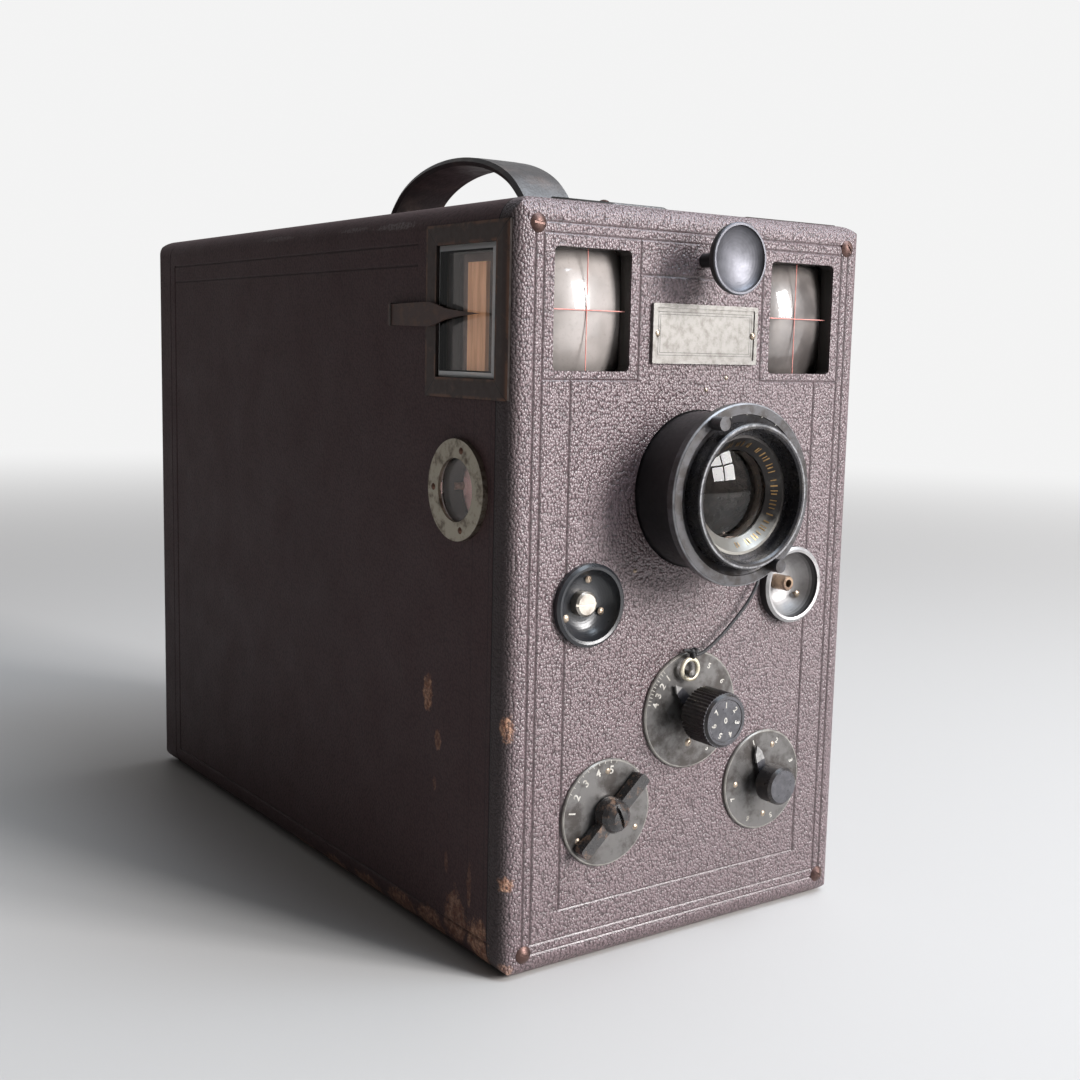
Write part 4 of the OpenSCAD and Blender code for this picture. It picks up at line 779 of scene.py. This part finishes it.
# Section swept along a line, closed at both ends
def sweep(line, section):
    points, faces = [], []
    count = len(section)
    for i, p in enumerate(line):
        along = (line[min(i + 1, len(line) - 1)] - line[max(i - 1, 0)]).normalized()
        out = Vector((1, 0, 0)).cross(along)
        for x, n in section:
            points.append(at(*(p + Vector((x, 0, 0)) + out * n)))
    for i in range(len(line) - 1):
        for k in range(count):
            j = (k + 1) % count
            faces.append((i * count + k, (i + 1) * count + k, (i + 1) * count + j, i * count + j))
    faces.append(tuple(range(count)))
    faces.append(tuple((len(line) - 1) * count + k for k in range(count)))
    return points, faces


strap_points, strap_faces = sweep(strap_line, strap_section())
strap = add_mesh("strap", strap_points, strap_faces, strap_skin, "case")
sharpen(strap, 55)
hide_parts("strap_handle")

# Leather tabs that hold the strap's ends: distance from the strap's middle and height there
TAB_STATIONS = [(56.5, 3.9), (56.9, 4.6), (57.9, 4.95), (61, 4.6), (67, 3.8), (75, 2.7), (83, 1.65),
                (88, 1.05), (89.2, 0.85), (89.5, 0.5)]
TAB_HALF_W = 11
TAB_RIM = 1.1
# Share of a tab's height that its rounded rim falls, and then its outermost edge
TAB_FALL = 0.55
TAB_ROW = 13
tab_points, tab_faces = [], []
for end in (-1, 1):
    start = len(tab_points)
    for away, high in TAB_STATIONS:
        for i in range(TAB_ROW):
            x = -TAB_HALF_W + 2 * TAB_HALF_W * i / (TAB_ROW - 1)
            rim = max(0.0, abs(x) - (TAB_HALF_W - TAB_RIM)) / TAB_RIM
            lift = high * (1 - TAB_FALL * (1 - math.sqrt(max(0.0, 1 - rim * rim))))
            if i in (0, TAB_ROW - 1):
                lift *= TAB_FALL
            tab_points.append(at(x, STRAP_Y + end * away, STRAP_BASE + lift))
    base_start = len(tab_points)
    for away, _ in TAB_STATIONS:
        for x in (-TAB_HALF_W, TAB_HALF_W):
            tab_points.append(at(x, STRAP_Y + end * away, STRAP_BASE))
    rows = len(TAB_STATIONS)
    for r in range(rows - 1):
        a = start + r * TAB_ROW
        b = base_start + 2 * r
        for i in range(TAB_ROW - 1):
            tab_faces.append((a + i, a + i + 1, a + i + 1 + TAB_ROW, a + i + TAB_ROW))
        tab_faces.append((b, b + 1, b + 3, b + 2))
        tab_faces.append((a, a + TAB_ROW, b + 2, b))
        tab_faces.append((a + TAB_ROW - 1, b + 1, b + 3, a + 2 * TAB_ROW - 1))
    for row in (0, rows - 1):
        edge = [start + row * TAB_ROW + i for i in range(TAB_ROW)]
        foot = base_start + 2 * row
        tab_faces.append(tuple(edge + [foot + 1, foot]))
tabs = add_mesh("strap_end_tabs", tab_points, tab_faces, strap_skin, "case")
sharpen(tabs, 50)
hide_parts("strap_tabs")

# Cord from behind the lens to its ring, the same route as the solid
CORD_ROUTE = [
    (25, 5, 107.5), (25, 3, 107.5), (25, 1, 107.5), (24.9, -0.6, 107.3), (24.4, -1.7, 106.4),
    (23.5, -2.3, 104.7), (22.2, -2.5, 102.4), (20.4, -2.5, 99.8), (18.2, -2.5, 97.3),
    (15.6, -2.6, 94.9), (12.7, -2.7, 92.5), (9.6, -2.8, 90.1), (6.4, -2.9, 87.9),
    (3.6, -2.9, 86.2), (1.4, -2.9, 85.3), (-0.6, -2.9, 85.1),
]
CORD_D = 0.001


def poly_curve(name, points, radius, material, body):
    data = bpy.data.curves.new(name, "CURVE")
    data.dimensions = "3D"
    data.bevel_depth = radius
    data.bevel_resolution = 3
    data.use_fill_caps = True
    spline = data.splines.new("POLY")
    spline.points.add(len(points) - 1)
    for q, p in zip(spline.points, points):
        q.co = (*p, 1)
    obj = new_object(name, data)
    data.materials.append(material)
    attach(obj, body)
    return obj


cord_points = through([at(*p) for p in CORD_ROUTE], 4)
cord = poly_curve("pull_cord", cord_points, CORD_D / 2, cotton, "case")
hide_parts("cord")

# Knot at the ring, with its short end
KNOT_PLACE = (-1.9, -3.1, 86.0)
KNOT_R = 0.72
knot_line = []
for i in range(60):
    t = 2 * math.pi * i / 59
    loop_x = math.sin(t) + 0.9 * math.sin(2 * t)
    loop_z = math.cos(t) - 0.9 * math.cos(2 * t)
    knot_line.append(at(*KNOT_PLACE) + KNOT_R * MM * Vector((loop_x, -math.sin(3 * t), loop_z)))
knot = poly_curve("cord_knot", knot_line, 0.00058, cotton, "case")
END_ROUTE = [(-1.6, -3.0, 85.5), (-2.8, -3.3, 86.4), (-4.2, -3.5, 87.0), (-5.7, -3.4, 87.1)]
end_line = through([at(*p) for p in END_ROUTE], 5)
cord_end = poly_curve("cord_end", end_line, 0.00040, cotton, "case")


# Faces of a box whose eight points start at k, four in front and four behind
def box_faces(k):
    ends = [(k, k + 1, k + 2, k + 3), (k + 4, k + 5, k + 6, k + 7)]
    return ends + [(k + i, k + (i + 1) % 4, k + 4 + (i + 1) % 4, k + 4 + i) for i in range(4)]


# Adds a box, given by its two ends along each axis, to lists of points and faces
def add_box(points, faces, x_ends, y_ends, z_ends):
    faces += box_faces(len(points))
    (x0, x1), (z0, z1) = x_ends, z_ends
    points += [at(x, y, z) for y in y_ends for x, z in ((x0, z0), (x1, z0), (x1, z1), (x0, z1))]


# Raised marks round a centre on a face that looks forwards
def ticks(name, x, z, y, marks, material, body, cone=0.0):
    points, faces = [], []
    for angle, r0, r1, width in marks:
        a = math.radians(angle)
        along = Vector((math.cos(a), 0, math.sin(a)))
        side = Vector((-math.sin(a), 0, math.cos(a)))
        faces += box_faces(len(points))
        for depth in (0.0, 0.04):
            for r, w in ((r0, -1), (r1, -1), (r1, 1), (r0, 1)):
                place = along * r + side * (w * width / 2)
                points.append(at(x + place.x, y - depth + cone * (r1 - r), z + place.z))
    obj = add_mesh(name, points, faces, material, body, smooth=False)
    return obj


# Plain text as a mesh that lies flat: its size and how much its strokes are thickened, in millimetres
def text_mesh(name, text, size, thicken):
    curve = bpy.data.curves.new(name, "FONT")
    curve.body = text
    curve.size = size * MM
    curve.align_x = "CENTER"
    curve.align_y = "CENTER"
    curve.extrude = 0.00003
    curve.offset = thicken * MM
    holder = new_object(name, curve)
    bpy.context.view_layer.update()
    mesh = bpy.data.meshes.new_from_object(holder.evaluated_get(bpy.context.evaluated_depsgraph_get()))
    bpy.data.objects.remove(holder)
    bpy.data.curves.remove(curve)
    return mesh


def turned(degrees, axis):
    return Matrix.Rotation(math.radians(degrees), 4, axis)


# Numbers that face forwards, joined into one mesh
def numbers(name, entries, y, size, material, body):
    made = bmesh.new()
    for text, x, z, turn in entries:
        mesh = text_mesh(name + "_text", text, size, 0.06)
        mesh.transform(Matrix.Translation(at(x, y, z)) @ turned(90, "X") @ turned(turn, "Z"))
        made.from_mesh(mesh)
        bpy.data.meshes.remove(mesh)
    data = bpy.data.meshes.new(name)
    made.to_mesh(data)
    made.free()
    obj = new_object(name, data)
    data.materials.append(material)
    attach(obj, body)
    return obj


# Digits round a centre, each with its foot towards the centre
def ring_of(digits, x, z, radius, first, last):
    out = []
    for i, digit in enumerate(digits):
        angle = first + (last - first) * i / (len(digits) - 1)
        a = math.radians(angle)
        out.append((digit, x + radius * math.cos(a), z + radius * math.sin(a), angle - 90))
    return out


# Numbers and marks on the dials and on the large knob
DIAL_Y = -1.0
KNOB_Y = -15.82
for name, digits, x, z, radius, first, last, y, size, body, slot in (
        ("stop_numbers", "1234", 0, STOP_Z, 13.6, 131, 168, DIAL_Y, 3.0, "case", "dial_metal"),
        ("stop_numbers_right", "56789", 0, STOP_Z, 13.8, 62, -62, DIAL_Y, 2.3, "case", "dial_metal"),
        ("time_numbers", "12345", -SMALL_X, SMALL_Z, 12.2, 172, 84, DIAL_Y, 3.2, "case", "dial_metal"),
        ("speed_numbers", "1234567", SMALL_X, SMALL_Z, 12.6, 109, -160, DIAL_Y, 2.2, "case", "dial_metal"),
        ("knob_numbers", "1234567", 0, STOP_Z, 4.4, 90, -218, KNOB_Y, 2.3, "stops", "ebonite")):
    numbers(name, ring_of(digits, x, z, radius, first, last), y, size, mark_white, body)
numbers("knob_middle", [("0", 0, STOP_Z, 0)], KNOB_Y, 2.3, mark_white, "stops")
stop_marks = [(131 + 3.7 * i, 15.6, 16.6, 0.22) for i in range(11)]
ticks("stop_ticks", 0, STOP_Z, DIAL_Y, stop_marks, mark_white, "case")
time_marks = [(78 + 8 * i, 14.3, 15.0, 0.2) for i in range(10)]
ticks("time_ticks", -SMALL_X, SMALL_Z, DIAL_Y, time_marks, mark_white, "case")

# Focus scale on the ring's face and worn brass marks round the front glass
FOCUS_FACE_Y = -19.25
GLASS_RING_Y = -17.5
focus_marks = [(60 + 5 * i, 22.6 if i % 3 else 21.9, 23.8, 0.22) for i in range(13)]
ticks("focus_ticks", 0, LENS_Z, FOCUS_FACE_Y, focus_marks, mark_white, "focus")
retainer_marks = []
for i in range(56):
    if i % 9 == 8:
        continue
    angle = 210 - 300 * i / 55 + 1.2 * math.sin(i * 2.3)
    outside = 14.7 - 0.25 * (i % 3 == 0)
    retainer_marks.append((angle, 13.3, outside, 0.28 + 0.12 * (i % 2)))
ticks("glass_ring_marks", 0, LENS_Z, GLASS_RING_Y, retainer_marks, mark_brass, "lens",
      cone=0.98)

# Red threads stretched across each finder opening, just in front of the glass
THREAD_R = 0.00014
for label, cx in (("left", -FINDER_X), ("right", FINDER_X)):
    for way, ends in (("upright", ((cx, 2.75, FINDER_Z - 16.05), (cx, 2.75, FINDER_Z + 16.05))),
                      ("level", ((cx - 12.75, 2.6, FINDER_Z), (cx + 12.75, 2.6, FINDER_Z)))):
        points = [at(*p) for p in ends]
        thread = poly_curve(f"finder_{label}_{way}_thread", points, THREAD_R, red_line, "case")

# Fine engraved border inside the name plate's rim, left without words
PLATE_X, PLATE_Z = 0.8, 176.1
LINE_HALF = 0.07
border_points, border_faces = [], []
for half_w, half_h in ((17.4, 5.9), (16.7, 5.2)):
    for x0, z0, x1, z1 in ((-half_w, half_h, half_w, half_h), (-half_w, -half_h, half_w, -half_h),
                           (-half_w, -half_h, -half_w, half_h), (half_w, -half_h, half_w, half_h)):
        add_box(border_points, border_faces,
                (PLATE_X + x0 - LINE_HALF, PLATE_X + x1 + LINE_HALF), (-0.60, -0.67),
                (PLATE_Z + z0 - LINE_HALF, PLATE_Z + z1 + LINE_HALF))
border = add_mesh("plate_border", border_points, border_faces, mark_dark, "case", smooth=False)

# Staple that holds the sighting leaf's foot
staple_points, staple_faces = [], []
for x_ends, z_ends in (((-66.2, -65.8), (177.6, 182.6)), ((-66.2, -63.9), (176.9, 177.6)),
                       ((-66.2, -63.9), (182.6, 183.3))):
    add_box(staple_points, staple_faces, x_ends, (59.9, 60.5), z_ends)
staple = add_mesh("leaf_staple", staple_points, staple_faces, old_steel, "case", smooth=False)
bevel = staple.modifiers.new("edges", "BEVEL")
bevel.width = 0.00012
bevel.segments = 2

# Number on the counter disc, seen through its window
COUNTER_PLACE = (-55.66, 25.0, LENS_Z)
counter_mesh = text_mesh("counter_text", "7", 7, 0.0)
counter_mesh.transform(Matrix.Translation(at(*COUNTER_PLACE)) @ turned(-90, "Z") @ turned(90, "X"))
counter_number = new_object("counter_number", counter_mesh)
counter_mesh.materials.append(inside_black)
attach(counter_number, "counter")

# Bow spring between the door and the pusher: a copy of the solid's mesh with its place baked in, in place
# of the hidden solid
spring_node = nodes["pusher_spring"]
bow_spring = new_object("bow_spring", spring_node.data.copy())
bow_spring.matrix_world = spring_node.matrix_world.copy()
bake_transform(bow_spring)
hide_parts("pusher_spring")

# Floor, which keeps the object's shadow near it and fades into the background further away
BACKDROP = (0.90, 0.90, 0.90)
FLOOR_SIZE = 8.0
floor_data = bpy.data.meshes.new("floor")
floor_data.from_pydata([(-FLOOR_SIZE, -FLOOR_SIZE, 0), (FLOOR_SIZE, -FLOOR_SIZE, 0),
                        (FLOOR_SIZE, FLOOR_SIZE, 0), (-FLOOR_SIZE, FLOOR_SIZE, 0)], [], [(0, 1, 2, 3)])
floor = new_object("floor", floor_data)

# Share of the plain background in what glossy surfaces mirror
GLOSSY_SHARE = 0.2


# One where the camera sees a place straight or through glass, less in a mirrored view, else nought
def seen_directly(tree):
    rays = tree.nodes.new("ShaderNodeLightPath")
    highest = tree.nodes.new("ShaderNodeMath")
    highest.operation = "MAXIMUM"
    tree.links.new(rays.outputs["Is Camera Ray"], highest.inputs[0])
    tree.links.new(rays.outputs["Is Transmission Ray"], highest.inputs[1])
    glossy = tree.nodes.new("ShaderNodeMath")
    glossy.operation = "MULTIPLY"
    tree.links.new(rays.outputs["Is Glossy Ray"], glossy.inputs[0])
    glossy.inputs[1].default_value = GLOSSY_SHARE
    total = tree.nodes.new("ShaderNodeMath")
    total.operation = "MAXIMUM"
    tree.links.new(highest.outputs[0], total.inputs[0])
    tree.links.new(glossy.outputs[0], total.inputs[1])
    return total.outputs[0]


# Distance from the middle of the floor at which it begins to fade, and is gone, in metres
FADE = (0.45, 1.9)
floor_look = Shader("floor_paint", (0.50, 0.485, 0.47), 0.0, 0.6)
distance = floor_look.vec("LENGTH", floor_look.coords)
fade = floor_look.both(floor_look.step(distance, *FADE), seen_directly(floor_look.tree))
white = floor_look.tree.nodes.new("ShaderNodeEmission")
white.inputs["Color"].default_value = (*BACKDROP, 1)
floor_mix = floor_look.tree.nodes.new("ShaderNodeMixShader")
floor_look.link(fade, floor_mix.inputs[0])
floor_look.link(floor_look.bsdf.outputs[0], floor_mix.inputs[1])
floor_look.link(white.outputs[0], floor_mix.inputs[2])
floor_look.link(floor_mix.outputs[0], floor_look.tree.nodes["Material Output"].inputs["Surface"])
floor_data.materials.append(floor_look.mat)


# Light: sizes and places in metres, power in watts
def area_light(name, place, width, height, power, target, tint):
    data = bpy.data.lights.new(name, "AREA")
    data.shape = "RECTANGLE"
    data.size = width
    data.size_y = height
    data.energy = power
    data.color = tint
    obj = new_object(name, data)
    obj.location = place
    obj.rotation_euler = (Vector(target) - Vector(place)).to_track_quat("-Z", "Y").to_euler()
    obj.visible_camera = False
    return obj


# A tall window of two by three panes, in front of the object and to its right
WINDOW_AZIMUTH = math.radians(28)
WINDOW_DISTANCE = 1.95
WINDOW_BOTTOM = 0.26
WINDOW_TILT = 0.25
WINDOW_TINT = (1.0, 0.98, 0.975)
PANE_W, PANE_H, PANE_GAP = 0.36, 0.34, 0.05
PANE_POWER = 12.7
window_out = Vector((math.sin(WINDOW_AZIMUTH), -math.cos(WINDOW_AZIMUTH), 0))
window_across = Vector((math.cos(WINDOW_AZIMUTH), math.sin(WINDOW_AZIMUTH), 0))
for row in range(3):
    for column in (-0.5, 0.5):
        place = window_out * WINDOW_DISTANCE + window_across * (column * (PANE_W + PANE_GAP))
        place.z = WINDOW_BOTTOM + (row + 0.5) * (PANE_H + PANE_GAP)
        target = place - window_out
        target.z -= WINDOW_TILT
        label = f"window_{row}_{int(column + 1)}"
        area_light(label, place, PANE_W, PANE_H, PANE_POWER, target, WINDOW_TINT)
area_light("ceiling_light", (0.8, -0.35, 2.0), 1.5, 1.5, 24, (0.05, -0.1, 0.1), (0.88, 0.93, 1.0))
area_light("sky_light", (0.25, -0.45, 0.95), 0.5, 0.4, 5.0, (0.0, -0.12, 0.2), (0.72, 0.86, 1.0))

# The room: bright on the right, dark on the left
ROOM_DARK, ROOM_BRIGHT = 0.045, 0.42
world = bpy.data.worlds.new("studio")
bpy.context.scene.world = world
world.use_nodes = True
wt = world.node_tree
background = wt.nodes["Background"]
direction = wt.nodes.new("ShaderNodeTexCoord").outputs["Generated"]
parts = wt.nodes.new("ShaderNodeSeparateXYZ")
wt.links.new(direction, parts.inputs[0])
room = wt.nodes.new("ShaderNodeMapRange")
room.interpolation_type = "SMOOTHSTEP"
wt.links.new(parts.outputs[0], room.inputs["Value"])
room.inputs["From Min"].default_value = -0.9
room.inputs["From Max"].default_value = 0.9
room.inputs["To Min"].default_value = ROOM_DARK
room.inputs["To Max"].default_value = ROOM_BRIGHT
wt.links.new(room.outputs["Result"], background.inputs["Strength"])
background.inputs["Color"].default_value = (1.0, 0.99, 1.0, 1)
seen = wt.nodes.new("ShaderNodeBackground")
seen.inputs["Color"].default_value = (*BACKDROP, 1)
blend = wt.nodes.new("ShaderNodeMixShader")
wt.links.new(seen_directly(wt), blend.inputs[0])
wt.links.new(background.outputs[0], blend.inputs[1])
wt.links.new(seen.outputs[0], blend.inputs[2])
wt.links.new(blend.outputs[0], wt.nodes["World Output"].inputs[0])
